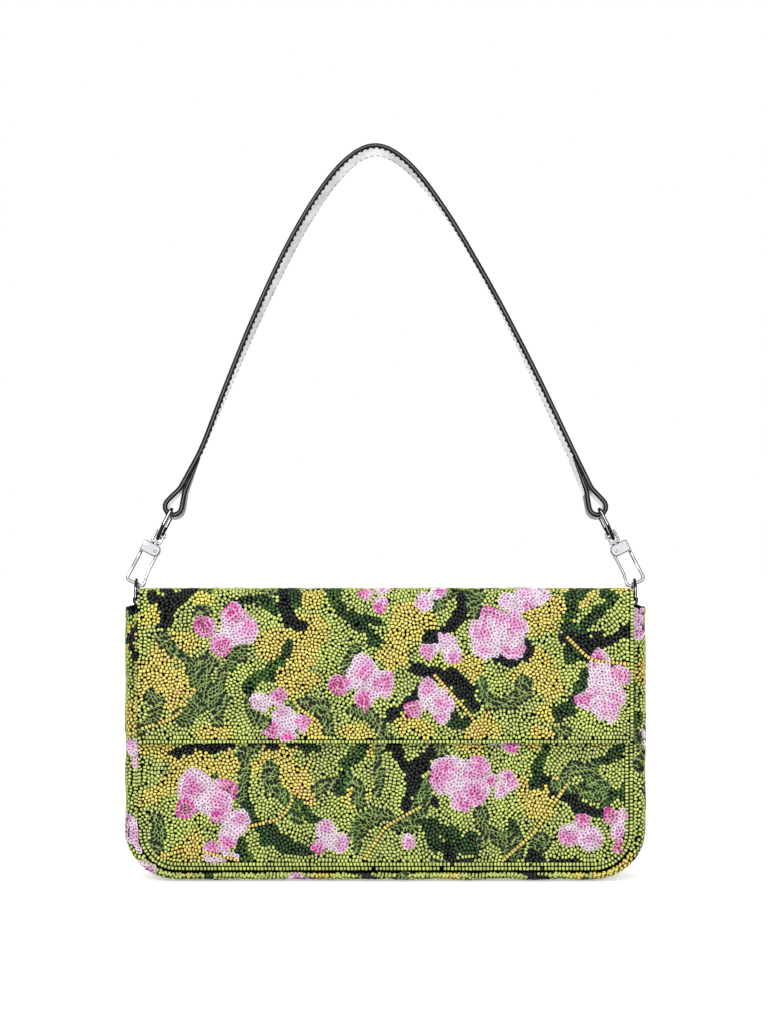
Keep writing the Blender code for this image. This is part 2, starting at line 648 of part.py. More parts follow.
def make_gate(word, turn, parts):
    """The lever that closes the hook, on its pin through the cap."""
    pin = cylinder_part("gate_pin_" + word, GATE_PIN_RADIUS, GATE_PIN_LENGTH, parts,
                        "chromed_zinc", turn)
    pin.location = (GATE_PIVOT_ACROSS, 0.0, GATE_PIVOT_UP)
    pin.rotation_euler = (math.pi / 2, 0.0, 0.0)
    axis = add_empty("gate_axis_" + word, parts, (GATE_PIVOT_ACROSS, 0.0, GATE_PIVOT_UP),
                     parent=turn)
    root = GATE_ROOT_RADIUS
    outer = HOOK_INSIDE - GATE_PIVOT_ACROSS
    inner = outer - GATE_ARM
    nose = outer + GATE_NOSE
    corners = ((-root, root), (root, root), (outer, -root), (outer, GATE_NOSE_LENGTH - GATE_LENGTH),
               (nose, -GATE_LENGTH), (nose - GATE_ARM, -GATE_LENGTH),
               (inner, GATE_NOSE_LENGTH - GATE_LENGTH), (inner, -2 * root), (-root, -root))
    round_root = root - RUNNING_GAP
    radii = (round_root, round_root, 0.0, 0.0, GATE_CORNER, GATE_CORNER, 0.0, 0.0, round_root)
    hole = circle_line(0.0, 0.0, GATE_PIN_RADIUS + RUNNING_GAP)
    upright_part("gate_" + word, [rounded(corners, radii, CORNER_STEPS // 2), hole],
                 -GATE_WIDTH / 2, GATE_WIDTH / 2, parts, "chromed_zinc", axis)


def make_swivel(word, turn, parts, tools):
    """The forked swivel over the cap, its cross pin and the eye that the strap hangs on."""
    half = SWIVEL_WIDTH / 2
    throat = half - SWIVEL_CHEEK
    floor = SWIVEL_BOTTOM + SWIVEL_FLOOR
    corners = ((-half, SWIVEL_BOTTOM), (half, SWIVEL_BOTTOM), (half, SWIVEL_TOP),
               (throat, SWIVEL_TOP), (throat, floor), (-throat, floor), (-throat, SWIVEL_TOP),
               (-half, SWIVEL_TOP))
    radii = (SWIVEL_CORNER, SWIVEL_CORNER, SWIVEL_CORNER / 2, 0.0, 0.0, 0.0, 0.0,
             SWIVEL_CORNER / 2)
    fork = as_mesh(upright_part("swivel_" + word, [rounded(corners, radii, CORNER_STEPS // 2)],
                                -SWIVEL_DEPTH / 2, SWIVEL_DEPTH / 2, parts, "chromed_zinc", turn))
    stem = cylinder_part("swivel_stem_" + word, STEM_RADIUS, STEM_DEPTH + SWIVEL_FLOOR, tools,
                         None, turn)
    stem.location.z = SWIVEL_BOTTOM + (SWIVEL_FLOOR - STEM_DEPTH) / 2 - TOUCH_GAP / 2
    cut_or_join(fork, stem, "UNION")
    hole = cylinder_part("swivel_hole_" + word, CROSS_PIN_RADIUS + RUNNING_GAP,
                         SWIVEL_WIDTH + CUT_OVERRUN, tools, None, turn)
    hole.rotation_euler = (0.0, math.pi / 2, 0.0)
    hole.location.z = CROSS_PIN_UP
    cut_or_join(fork, hole, "DIFFERENCE")
    pin = cylinder_part("swivel_pin_" + word, CROSS_PIN_RADIUS, CROSS_PIN_LENGTH, parts,
                        "chromed_zinc", turn)
    pin.rotation_euler = (0.0, math.pi / 2, 0.0)
    pin.location.z = CROSS_PIN_UP
    wide = EYE_HALF_WIDTH
    corners = ((0.0, -EYE_NECK, EYE_BOTTOM), (0.0, EYE_NECK, EYE_BOTTOM),
               (0.0, wide, EYE_SHOULDER), (0.0, wide, EYE_TOP), (0.0, -wide, EYE_TOP),
               (0.0, -wide, EYE_SHOULDER))
    radii = (EYE_NECK_CORNER, EYE_NECK_CORNER, EYE_SHOULDER_CORNER, EYE_TOP_CORNER,
             EYE_TOP_CORNER, EYE_SHOULDER_CORNER)
    wire_part("eye_" + word, rounded(corners, radii, CORNER_STEPS // 2), EYE_WIRE, True, parts,
              "chromed_zinc", turn)


def make_clip(side, swing, parts, tools):
    """One clip, hooked under the top of its ring and leaning in towards the strap."""
    word = "left" if side < 0 else "right"
    half_turn = 0.0 if side < 0 else math.pi
    place = (side * CLIP_OUT, 0.0, CLIP_HEIGHT - RING_CENTRE_HEIGHT)
    held = add_empty("strap_end_" + word, parts, place, (0.0, CLIP_LEAN, half_turn), swing)
    turn = add_empty("clip_turn_axis_" + word, parts, (0.0, 0.0, 0.0), parent=held)
    make_clip_body(word, turn, parts, tools)
    make_gate(word, turn, parts)
    make_swivel(word, held, parts, tools)


def clip_to_strap(side, across, up):
    """A place given across and along a clip, in the strap's upright plane."""
    out = CLIP_OUT - up * math.sin(CLIP_LEAN) - across * math.cos(CLIP_LEAN)
    height = CLIP_HEIGHT + up * math.cos(CLIP_LEAN) - across * math.sin(CLIP_LEAN)
    return Vector((side * out, height - RING_CENTRE_HEIGHT))


def loop_line(side):
    """One strap end: down the leg, round the eye's bar and back up the inner side."""
    centre = Vector((0.0, LOOP_CENTRE_UP))
    split = Vector((-LEG_OFFSET, LEG_SPLIT_UP))
    spoke = split - centre
    reach = math.acos(LOOP_CENTRE_RADIUS / spoke.length)
    first = math.atan2(spoke.y, spoke.x) + reach
    last = 3 * math.pi - first
    line = [Vector((-LEG_OFFSET, LEG_TOP_UP)), split]
    for step in range(LOOP_STEPS + 1):
        angle = first + (last - first) * step / LOOP_STEPS
        line.append(centre + LOOP_CENTRE_RADIUS * Vector((math.cos(angle), math.sin(angle))))
    line += [Vector((LEG_OFFSET, LEG_SPLIT_UP)), Vector((LEG_OFFSET, LEG_TOP_UP))]
    return [clip_to_strap(side, place.x, place.y) for place in line]


def arch_line(side):
    """From the strap's peak down to the top of one leg, without either end."""
    peak = Vector((STRAP_PEAK_SHIFT, STRAP_RISE - STRAP_THICKNESS / 2))
    peak_handle = peak + Vector((side * STRAP_PEAK_HANDLE, 0.0))
    leg = clip_to_strap(side, -LEG_OFFSET, LEG_TOP_UP)
    leg_handle = clip_to_strap(side, -LEG_OFFSET, LEG_TOP_UP + STRAP_LEG_HANDLE)
    line = []
    for step in range(1, ARCH_STEPS):
        t = step / ARCH_STEPS
        s = 1 - t
        line.append(s ** 3 * peak + 3 * s * s * t * peak_handle + 3 * s * t * t * leg_handle
                    + t ** 3 * leg)
    return line


def strap_line():
    """The middle of the strap's thickness, from one turned-back end to the other."""
    peak = Vector((STRAP_PEAK_SHIFT, STRAP_RISE - STRAP_THICKNESS / 2))
    left = list(reversed(arch_line(-1) + loop_line(-1)))
    return left + [peak] + arch_line(1) + loop_line(1)


def beside(line, distance):
    """The line moved sideways to its left by a distance."""
    moved = []
    for index, place in enumerate(line):
        back = (place - line[index - 1]).normalized() if index else None
        ahead = (line[index + 1] - place).normalized() if index + 1 < len(line) else None
        way = ((back or ahead) + (ahead or back)).normalized()
        lengthening = way.dot(back or ahead)
        moved.append(place + Vector((-way.y, way.x)) * distance / lengthening)
    return moved


def make_strap(swing, parts):
    """The strap's two leather layers, sewn together and looped round both eyes."""
    line = strap_line()
    half_gap = TOUCH_GAP / 2
    layers = (("strap_face", half_gap, half_gap + STRAP_LAYER),
              ("strap_lining", -half_gap - STRAP_LAYER, -half_gap))
    for name, low, high in layers:
        outline = beside(line, high) + list(reversed(beside(line, low)))
        upright_part(name, [outline], -STRAP_WIDTH / 2, STRAP_WIDTH / 2, parts, "black_leather",
                     swing)


def main():
    clear_scene()
    parts = new_collection("beaded_shoulder_bag")
    tools = new_collection("cutters")
    make_panels(parts, tools)
    make_gusset(parts)
    make_boards(parts)
    make_lining(parts, tools)
    make_inner_pocket(parts, tools)
    make_top_strip(parts)
    make_magnet_socket(parts)
    make_flap(parts, tools)
    swing = add_empty("strap_swing_axis", parts, (0.0, RING_BACK, RING_CENTRE_HEIGHT),
                      (-STRAP_LEAN_BACK, 0.0, 0.0))
    for side in (-1, 1):
        make_ring(side, parts)
        make_clip(side, swing, parts, tools)
    make_strap(swing, parts)
    bpy.context.view_layer.update()


main()
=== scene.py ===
"""The looks of a beaded baguette shoulder bag with a flap, side rings and a clip-on strap.

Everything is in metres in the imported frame. Sizes below are in millimetres, as a maker would
note them, and are turned to metres when a mesh is made.
"""

import logging
import math
from collections import deque
from dataclasses import dataclass
from enum import Enum
from typing import Callable, Iterable, Sequence

import bpy
import numpy as np
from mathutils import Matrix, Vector
from mathutils.kdtree import KDTree


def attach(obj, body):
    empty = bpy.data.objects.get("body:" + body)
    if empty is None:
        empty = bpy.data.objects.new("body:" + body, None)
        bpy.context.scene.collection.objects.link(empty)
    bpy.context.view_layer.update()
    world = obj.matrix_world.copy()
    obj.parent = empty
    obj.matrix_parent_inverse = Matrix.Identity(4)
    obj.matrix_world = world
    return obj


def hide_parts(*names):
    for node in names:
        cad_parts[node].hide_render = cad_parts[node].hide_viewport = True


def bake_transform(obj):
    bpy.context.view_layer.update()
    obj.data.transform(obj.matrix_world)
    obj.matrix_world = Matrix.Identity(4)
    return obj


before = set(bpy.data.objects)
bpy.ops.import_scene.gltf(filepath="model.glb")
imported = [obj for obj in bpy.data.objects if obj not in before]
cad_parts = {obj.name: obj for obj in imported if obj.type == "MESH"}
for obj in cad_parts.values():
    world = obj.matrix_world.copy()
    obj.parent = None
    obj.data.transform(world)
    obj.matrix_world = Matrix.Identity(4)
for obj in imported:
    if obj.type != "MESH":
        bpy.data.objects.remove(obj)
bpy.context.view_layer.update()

MM = 0.001
SIDES = {"left": -1.0, "right": 1.0}
X_WAY, Y_WAY = np.array([1.0, 0.0, 0.0]), np.array([0.0, 1.0, 0.0])
# How far the bag's top falls for each millimetre towards the back, and the Y where that starts.
TOP_SLOPE, SLOPE_START = 0.026, -24.3
# How high the magnet sits in the front and flap, and the bare round about it.
MAGNET_HEIGHT, MAGNET_ROOM = 92.0, 8.6
log = logging.getLogger("bag")

Array = np.ndarray
# Points in millimetres and faces; a value or place for each flat place across and along.
Part = tuple[Array, list]
Field = Callable[[Array, Array], Array]


# Colours and finishes

def linear(hex_colour: str) -> tuple[float, float, float, float]:
    """Turn an sRGB hex value to linear red, green, blue and alpha.

    Args:
        hex_colour: six hex digits after a hash.

    Returns:
        The four linear values, alpha 1.
    """
    parts = [int(hex_colour[i:i + 2], 16) / 255 for i in (1, 3, 5)]
    red, green, blue = (c / 12.92 if c <= 0.04045 else ((c + 0.055) / 1.055) ** 2.4 for c in parts)
    return red, green, blue, 1.0


def fill(node: bpy.types.Node, inputs: dict) -> None:
    """Set a node's sockets.

    Args:
        node: the node.
        inputs: sockets by name or number, and a value or another node's output for each.
    """
    for key, value in inputs.items():
        if isinstance(value, bpy.types.NodeSocket):
            node.id_data.links.new(value, node.inputs[key])
        else:
            node.inputs[key].default_value = value


def add_node(tree: bpy.types.NodeTree, kind: str, inputs: dict | None = None,
             **settings: object) -> bpy.types.Node:
    """Add a node with its settings and fill its sockets.

    Args:
        tree: the material's tree.
        kind: the node's type.
        inputs: sockets by name or number, and a value or another node's output for each.
        settings: the node's own settings.

    Returns:
        The new node.
    """
    node = tree.nodes.new(kind)
    for key, value in settings.items():
        setattr(node, key, value)
    fill(node, inputs or {})
    return node


def new_material(name: str, inputs: dict) -> tuple[bpy.types.Material, bpy.types.Node]:
    """Make a material.

    Args:
        name: what the real material is.
        inputs: sockets of its Principled shader and their values.

    Returns:
        The material and its shader.
    """
    made = bpy.data.materials.new(name)
    made.use_nodes = True
    shader = made.node_tree.nodes["Principled BSDF"]
    fill(shader, inputs)
    return made, shader


@dataclass(frozen=True)
class Finish:
    """One finish: its name, its colour and how it shines."""

    name: str
    colour: str
    roughness: float
    metallic: float = 0.0
    slot: str = "black_leather"
    specular: float = 0.5
    coat: float = 0.0

    def material(self) -> bpy.types.Material:
        """Make the material, unless it is there already.

        Returns:
            The material.
        """
        made = bpy.data.materials.get(self.name)
        if made is None:
            made, shader = new_material(self.name, {
                "Base Color": linear(self.colour), "Roughness": self.roughness,
                "Metallic": self.metallic, "Specular IOR Level": self.specular,
                "Coat Weight": self.coat})
            self.dress(shader)
        return made

    def dress(self, shader: bpy.types.Node) -> None:
        """Give the shader its pattern; a plain finish has none."""

    def mottle(self, shader: bpy.types.Node, size_mm: float, darker: float) -> None:
        """Vary the colour in soft patches.

        Args:
            shader: the material's shader.
            size_mm: how wide a patch is.
            darker: how much darker a patch may get, from 0 to 1.
        """
        tree = shader.id_data
        place = add_node(tree, "ShaderNodeTexCoord")
        noise = add_node(tree, "ShaderNodeTexNoise", {"Vector": place.outputs["Object"],
                         "Scale": 1 / (size_mm * MM), "Detail": 4.0})
        ramp = add_node(tree, "ShaderNodeValToRGB", {"Fac": noise.outputs["Fac"]})
        full = linear(self.colour)
        dark = (*(c * (1 - darker) for c in full[:3]), 1.0)
        for stop, spot, colour in zip(ramp.color_ramp.elements, (0.35, 0.65), (dark, full)):
            stop.position, stop.color = spot, colour
        fill(shader, {"Base Color": ramp.outputs["Color"]})

    def cloud(self, shader: bpy.types.Node, size_mm: float, detail: float, low: float,
              high: float) -> None:
        """Vary the gloss in soft patches.

        Args:
            shader: the material's shader.
            size_mm: how wide a patch is.
            detail: how fine its edges are.
            low: the least roughness, as a share of the finish's own.
            high: the most.
        """
        tree = shader.id_data
        place = add_node(tree, "ShaderNodeTexCoord")
        noise = add_node(tree, "ShaderNodeTexNoise", {"Vector": place.outputs["Object"],
                         "Scale": 1 / (size_mm * MM), "Detail": detail})
        gloss = add_node(tree, "ShaderNodeMapRange", {"Value": noise.outputs["Fac"],
                         "To Min": self.roughness * low, "To Max": self.roughness * high})
        fill(shader, {"Roughness": gloss.outputs["Result"]})


class GlassBeads(Finish):
    """Pressed glass seed beads: small, hard highlights over a coloured, slightly deep body."""

    def dress(self, shader: bpy.types.Node) -> None:
        """Read each bead's own colour and vary its gloss.

        Args:
            shader: the material's shader.
        """
        # The colour carries each bead's painted highlight and painted shade.
        tint = add_node(shader.id_data, "ShaderNodeAttribute", attribute_name="bead_colour_with_painted_light")
        fill(shader, {"Base Color": tint.outputs["Color"], "Coat Roughness": 0.08})
        # Glass lustre changes from bead to bead, so a patch is one bead (2 mm) wide.
        self.cloud(shader, 2.0, 1.0, 0.6, 1.5)


class CuppedSequins(GlassBeads):
    """Cupped film sequins with a pearl coat: flat discs that flash as they tilt."""

    def dress(self, shader: bpy.types.Node) -> None:
        """Dress them as beads and tint their highlights like pearl."""
        super().dress(shader)
        fill(shader, {"Specular Tint": linear("#ffe9f8")})


class WovenCloth(Finish):
    """Plain woven cotton: two sets of threads, matt, with a slight change of shade."""

    def dress(self, shader: bpy.types.Node) -> None:
        """Weave threads 0.6 mm apart; real ones of 0.3 mm would be too fine to show.

        Args:
            shader: the material's shader.
        """
        self.mottle(shader, 18.0, 0.35)
        tree = shader.id_data
        place = add_node(tree, "ShaderNodeTexCoord")
        # A wave of scale s repeats every 2 pi / (20 s) metres.
        scale = 2 * math.pi / (20 * 0.6 * MM)
        warp, weft = (add_node(tree, "ShaderNodeTexWave", {"Vector": place.outputs["Object"],
                      "Scale": scale, "Distortion": 0.6, "Detail": 1.0}, bands_direction=way)
                      for way in ("X", "Z"))
        both = add_node(tree, "ShaderNodeMath", {0: warp.outputs["Fac"], 1: weft.outputs["Fac"]},
                        operation="ADD")
        bump = add_node(tree, "ShaderNodeBump", {"Height": both.outputs["Value"],
                        "Strength": 0.5, "Distance": 0.15 * MM})
        fill(shader, {"Normal": bump.outputs["Normal"]})


class CalfLeather(Finish):
    """Chrome-tanned calf, plated smooth and polished: fine pebbled grain with a soft gloss."""

    def dress(self, shader: bpy.types.Node) -> None:
        """Lay cells of grain 0.9 mm wide (0.5 mm on the hide, drawn coarser to show).

        Args:
            shader: the material's shader.
        """
        self.mottle(shader, 9.0, 0.3)
        self.cloud(shader, 9.0, 4.0, 0.8, 1.3)
        tree = shader.id_data
        place = add_node(tree, "ShaderNodeTexCoord")
        grain = add_node(tree, "ShaderNodeTexVoronoi", {"Vector": place.outputs["Object"],
                         "Scale": 1 / (0.9 * MM)}, feature="DISTANCE_TO_EDGE")
        bump = add_node(tree, "ShaderNodeBump", {"Height": grain.outputs["Distance"],
                        "Strength": 0.22, "Distance": 0.12 * MM})
        fill(shader, {"Normal": bump.outputs["Normal"], "Coat Roughness": 0.12})


class PolishedPlate(Finish):
    """Bright metal plate over a casting: mirror-like with faint handling marks."""

    def dress(self, shader: bpy.types.Node) -> None:
        """Cloud the polish in patches of 3 mm, as fingers leave it."""
        self.cloud(shader, 3.0, 5.0, 0.5, 1.8)


BEADS = GlassBeads("pressed_glass_seed_beads", "#b4c65a", 0.24, slot="beaded_fabric",
                   specular=0.15, coat=0.06)
SEQUINS = CuppedSequins("cupped_film_sequins", "#f0a6dc", 0.3, slot="beaded_fabric",
                        specular=0.18, coat=0.06)
# Loose fibres swallow what a smooth skin would mirror, so cloth has little specular.
BACKING = WovenCloth("woven_cotton_backing", "#070905", 0.95, slot="beaded_fabric", specular=0.03)
LINING = WovenCloth("woven_cotton_lining", "#2f3524", 0.85, slot="lining_fabric", specular=0.12)
LEATHER = CalfLeather("plated_calf_leather", "#0c0c0d", 0.36, specular=0.25, coat=0.12)
LINING_LEATHER = CalfLeather("polished_pale_lining_leather", "#f4f4f5", 0.32, coat=0.2)
# A mid-grey line down the middle of each strap edge, where the two layers meet.
MID_GREY_SEAM_LINE = CalfLeather("mid_grey_strap_seam_line", "#77777a", 0.5, specular=0.2)
EDGE_PAINT = CalfLeather("painted_leather_edge", "#080808", 0.4, specular=0.14)
THREAD = WovenCloth("waxed_polyester_thread", "#0d0d0f", 0.6, specular=0.2)
CHROME = PolishedPlate("chrome_plated_zinc", "#e4e6e9", 0.06, 1.0, "chromed_zinc")
# Near-black metal on the rounded edges is a painted dark reflection that draws the rims dark.
CHROME_PAINTED_DARK_RIM = PolishedPlate("chromed_zinc_with_painted_dark_rims", "#26282b", 0.24, 1.0, "chromed_zinc")
STEEL = PolishedPlate("nickel_plated_steel", "#b9b4aa", 0.2, 1.0, "magnet_steel")
BOARD = WovenCloth("pressed_grey_board", "#8f8473", 0.95, slot="board", specular=0.12)


# Meshes

def unit(ways: Array) -> Array:
    """The same ways, each of length 1."""
    return ways / np.maximum(np.linalg.norm(ways, axis=-1, keepdims=True), 1e-9)


def spokes(angle: Array) -> Array:
    """A flat way of length 1 for each angle."""
    return np.stack([np.cos(angle), np.sin(angle)], -1)


def put(name: str, data: bpy.types.ID) -> bpy.types.Object:
    """Put a mesh, lamp or camera in the scene.

    Args:
        name: the object's name.
        data: the mesh, lamp or camera.

    Returns:
        The object.
    """
    made = bpy.data.objects.new(name, data)
    bpy.context.scene.collection.objects.link(made)
    return made


def new_piece(name: str, part: Part, finishes: Sequence[Finish], body: str,
              stands_for: Iterable[str] = (), marks: Array | None = None,
              colours: Array | None = None, flat: Array | None = None) -> bpy.types.Object:
    """Make one piece of the scene from its points and faces.

    Args:
        name: the piece's name.
        part: its points, one row each, and arrays of corner numbers, each array with one
            number of corners.
        finishes: its finishes, the first one its main one.
        body: the CAD body it rides on; empty if it is blended later.
        stands_for: the CAD nodes it replaces.
        marks: the finish number of each face, if not all 0.
        colours: a linear colour for each point, for beads and sequins, with their painted
            highlights and shade.
        flat: a flat place from 0 to 1 for each point, kept as the map for baking.

    Returns:
        The new object.
    """
    points, faces = part
    mesh = bpy.data.meshes.new(name)
    corners = np.concatenate([np.asarray(f, np.int32).ravel() for f in faces])
    totals = np.concatenate([np.full(len(f), np.asarray(f).shape[1], np.int32) for f in faces])
    starts = np.concatenate([[0], np.cumsum(totals)[:-1]]).astype(np.int32)
    mesh.vertices.add(len(points))
    mesh.vertices.foreach_set("co", (np.asarray(points, float) * MM).ravel())
    mesh.loops.add(len(corners))
    mesh.loops.foreach_set("vertex_index", corners)
    mesh.polygons.add(len(totals))
    mesh.polygons.foreach_set("loop_start", starts)
    mesh.polygons.foreach_set("loop_total", totals)
    if marks is not None:
        mesh.polygons.foreach_set("material_index", np.asarray(marks, np.int32))
    mesh.update(calc_edges=True)
    mesh.validate()
    if colours is not None:
        layer = mesh.color_attributes.new("bead_colour_with_painted_light", "FLOAT_COLOR", "POINT")
        full = np.ones((len(points), 4), np.float32)
        full[:, :3] = colours
        layer.data.foreach_set("color", full.ravel())
    if flat is not None:
        chart = mesh.uv_layers.new(name="OFBake")
        chart.data.foreach_set("uv", np.asarray(flat, np.float32)[corners].ravel())
    mesh.shade_smooth()
    made = put(name, mesh)
    for finish in finishes:
        mesh.materials.append(finish.material())
    if stands_for:
        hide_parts(*stands_for)
    if body:
        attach(made, body)
    log.info("%s: %d faces", name, len(totals))
    return made


def grid_faces(rows: int, columns: int, wrap: bool = False, first: int = 0,
               flip: bool = False) -> Array:
    """Quads between the points of a grid.

    Args:
        rows: how many rows of points.
        columns: how many points in a row.
        wrap: whether each row closes on itself.
        first: the number of the grid's first point.
        flip: whether to turn the faces over.

    Returns:
        An array of quads.
    """
    row, column = np.meshgrid(np.arange(rows - 1), np.arange(columns - (not wrap)), indexing="ij")
    after = (column + 1) % columns
    quads = np.stack([row * columns + column, row * columns + after,
                      (row + 1) * columns + after, (row + 1) * columns + column], -1)
    quads = quads.reshape(-1, 4) + first
    return quads[:, ::-1] if flip else quads


def slab(grid: Array, thickness: float, wrap: bool = False) -> Part:
    """A closed sheet of cloth or leather behind a grid of points.

    Args:
        grid: its outer face, rows by columns by 3, its normals pointing out.
        thickness: how far it goes in from there.
        wrap: whether each row closes on itself.

    Returns:
        Its points and its faces: the outer side, the inner side and the rim.
    """
    rows, columns = grid.shape[:2]
    across = np.roll(grid, -1, 1) - np.roll(grid, 1, 1) if wrap else np.gradient(grid, axis=1)
    inner = grid - unit(np.cross(across, np.gradient(grid, axis=0))) * thickness
    count = rows * columns
    numbers = np.arange(count).reshape(rows, columns)
    rims = [(numbers[0], True), (numbers[-1], False)]
    if not wrap:
        rims += [(numbers[:, 0], False), (numbers[:, -1], True)]
    faces = [grid_faces(rows, columns, wrap), grid_faces(rows, columns, wrap, count, True)]
    for line, turned in rims:
        here, there = (line, np.roll(line, -1)) if wrap else (line[:-1], line[1:])
        quads = np.stack([here, there, there + count, here + count], -1)
        faces.append(quads[:, ::-1] if turned else quads)
    return np.concatenate([grid.reshape(-1, 3), inner.reshape(-1, 3)]), faces


def rounded(corners: Sequence[Sequence[float]], radii: Sequence[float], steps: int = 8,
            closed: bool = True) -> Array:
    """A flat line through the corners, each rounded to its radius.

    Args:
        corners: the corners, two numbers each.
        radii: the radius at each corner.
        steps: how many steps round a corner.
        closed: whether the line closes.

    Returns:
        The line's points.
    """
    line: list[Vector] = []
    count = len(corners)
    for index, radius in enumerate(radii):
        corner = Vector(corners[index])
        if radius <= 0 or (not closed and index in (0, count - 1)):
            line.append(corner)
            continue
        back = (Vector(corners[index - 1]) - corner).normalized()
        ahead = (Vector(corners[(index + 1) % count]) - corner).normalized()
        half = back.angle(ahead) / 2
        centre = corner + (back + ahead).normalized() * radius / math.sin(half)
        start = corner + back * radius / math.tan(half) - centre
        end = corner + ahead * radius / math.tan(half) - centre
        turn = math.pi - 2 * half
        for share in (step / steps for step in range(steps + 1)):
            line.append(centre + (start * math.sin((1 - share) * turn)
                                  + end * math.sin(share * turn)) / math.sin(turn))
    kept = [line[0]]
    for point in line[1:]:
        if (point - kept[-1]).length > 0.01:
            kept.append(point)
    return np.array([tuple(point) for point in kept])


def oblong(left: float, right: float, low: float, high: float, radii: Sequence[float],
           steps: int) -> Array:
    """A rectangle with rounded corners, from its lower left corner to the right and up."""
    return rounded(((left, low), (right, low), (right, high), (left, high)), radii, steps)


def even_line(line: Array, step: float) -> Array:
    """The same line with its points evenly spaced.

    Args:
        line: points, one row each.
        step: about how far apart the new points are.

    Returns:
        The new points, both ends kept.
    """
    lengths = walked(line)
    places = np.linspace(0, lengths[-1], max(2, int(round(lengths[-1] / step)) + 1))
    return np.stack([np.interp(places, lengths, line[:, k]) for k in range(line.shape[1])], -1)


def walked(line: Array) -> Array:
    """How far each point of a line is from its start, along it."""
    return np.concatenate([[0], np.cumsum(np.linalg.norm(np.diff(line, axis=0), axis=1))])


def sweep(path: Array, across: Array, profile: Array, closed: bool = False,
          swell: Array | float = 1.0) -> Part:
    """Run a closed profile along a path.

    Args:
        path: the path's points, one row each.
        across: the way of the profile's first axis, for the path or for each point.
        profile: its points, across the path and square to both.
        closed: whether the path closes on itself.
        swell: how thick the profile is at each point, as a share.

    Returns:
        The points and the faces, sides first and then any two ends.
    """
    ahead = unit(np.roll(path, -1, 0) - np.roll(path, 1, 0) if closed
                 else np.gradient(path, axis=0))
    across = np.broadcast_to(across, path.shape)
    up = np.cross(ahead, across)
    up *= np.reshape(swell, (-1, 1)) / np.linalg.norm(up, axis=1, keepdims=True)
    rings = (path[:, None] + across[:, None] * profile[None, :, :1]
             + up[:, None] * profile[None, :, 1:])
    count, around = len(path), len(profile)
    quads = grid_faces(count, around, True)
    first, last = np.arange(around), np.arange(around) + (count - 1) * around
    if closed:
        quads = np.concatenate([quads, np.stack([last, np.roll(last, -1), np.roll(first, -1),
                                                 first], -1)])
        return rings.reshape(-1, 3), [quads]
    return rings.reshape(-1, 3), [quads, np.stack([first[::-1], last])]


def circle(radius: float, sides: int = 14) -> Array:
    """The points of a circle, turning the same way as the first axis goes to the second."""
    return radius * spokes(np.arange(sides) * 2 * math.pi / sides)


def join(parts: Sequence[Part]) -> Part:
    """Put several meshes into one.

    Args:
        parts: points and faces of each.

    Returns:
        All points and faces.
    """
    firsts = np.cumsum([0] + [len(points) for points, _ in parts])
    faces = [np.asarray(f) + first for (_, some), first in zip(parts, firsts) for f in some]
    return np.concatenate([points for points, _ in parts]), faces


def plate(outline: Array, low: float, high: float, bevel: float) -> Part:
    """A flat cast plate with rounded edges, in the plane of its outline.

    Args:
        outline: its outline, two numbers a point.
        low: where its thickness starts.
        high: where its thickness ends.
        bevel: how far its edges are rounded.

    Returns:
        The points (outline first and second, thickness third) and the faces.
    """
    count, ahead = len(outline), np.roll(outline, -1, 0)
    along = unit(ahead - np.roll(outline, 1, 0))
    area = np.sum(outline[:, 0] * ahead[:, 1] - ahead[:, 0] * outline[:, 1])
    inward = np.stack([-along[:, 1], along[:, 0]], -1) * (1 if area > 0 else -1)
    turns = (0, 30, 60, 90)
    rings = []
    for turn, level, way in ([(turn, low, 1) for turn in turns]
                             + [(turn, high, -1) for turn in turns[::-1]]):
        inset = bevel * (1 - math.sin(math.radians(turn)))
        height = level + way * bevel * (1 - math.cos(math.radians(turn)))
        rings.append(np.column_stack([outline + inward * inset, np.full(count, height)]))
    faces = [grid_faces(len(rings), count, True, flip=area < 0)]
    caps = np.stack([np.arange(count)[::-1], np.arange(count) + (len(rings) - 1) * count])
    return np.concatenate(rings), faces + [caps if area > 0 else caps[:, ::-1]]


def painted_rim_marks(part: Part) -> Array:
    """Marks of 1 for the rounded edges between what looks to the front and to the sides.

    Args:
        part: points with the way through second, and faces.

    Returns:
        One mark for each face, 0 for the others.
    """
    marks = []
    for some in part[1]:
        corners = part[0][np.asarray(some)]
        corners = corners - corners[:, :1]
        turned = np.abs(unit(np.cross(corners, np.roll(corners, -1, 1)).sum(1))[:, 1])
        # Marked faces get the painted dark reflection on the rims.
        marks.append(((turned > 0.4) & (turned < 0.97)).astype(int))
    return np.concatenate(marks)


def stitches(line: Array, out: Array, pitch: float, length: float, thick: float) -> Part:
    """A row of thread stitches that dip into the leather at both ends.

    Args:
        line: the row's path.
        out: the way out of the leather, for each point of the path.
        pitch: how far apart the stitches are.
        length: how long each one is.
        thick: how thick the thread is.

    Returns:
        The points and the faces of all stitches.
    """
    spots = even_line(np.hstack([line, out]), pitch)
    middle, normal = spots[:, :3], unit(spots[:, 3:])
    ahead = unit(np.gradient(middle, axis=0))
    beside = np.cross(normal, ahead)
    # Each ring's place along the stitch, width and height.
    shares = ((-1.0, 0.25, -0.6), (-0.6, 0.8, 0.0), (0.0, 1.0, 0.15), (0.6, 0.8, 0.0),
              (1.0, 0.25, -0.6))
    sides = 6
    rings = [middle + ahead * along * length / 2 + normal * high * thick
             + (beside * math.cos(turn) + normal * math.sin(turn)) * wide * thick / 2
             for along, wide, high in shares for turn in np.arange(sides) * math.pi / 3]
    one = grid_faces(len(shares), sides, True, flip=True)
    faces = one[None] + np.arange(len(middle))[:, None, None] * len(rings)
    return np.stack(rings, 1).reshape(-1, 3), [faces.reshape(-1, 4)]


# The beadwork

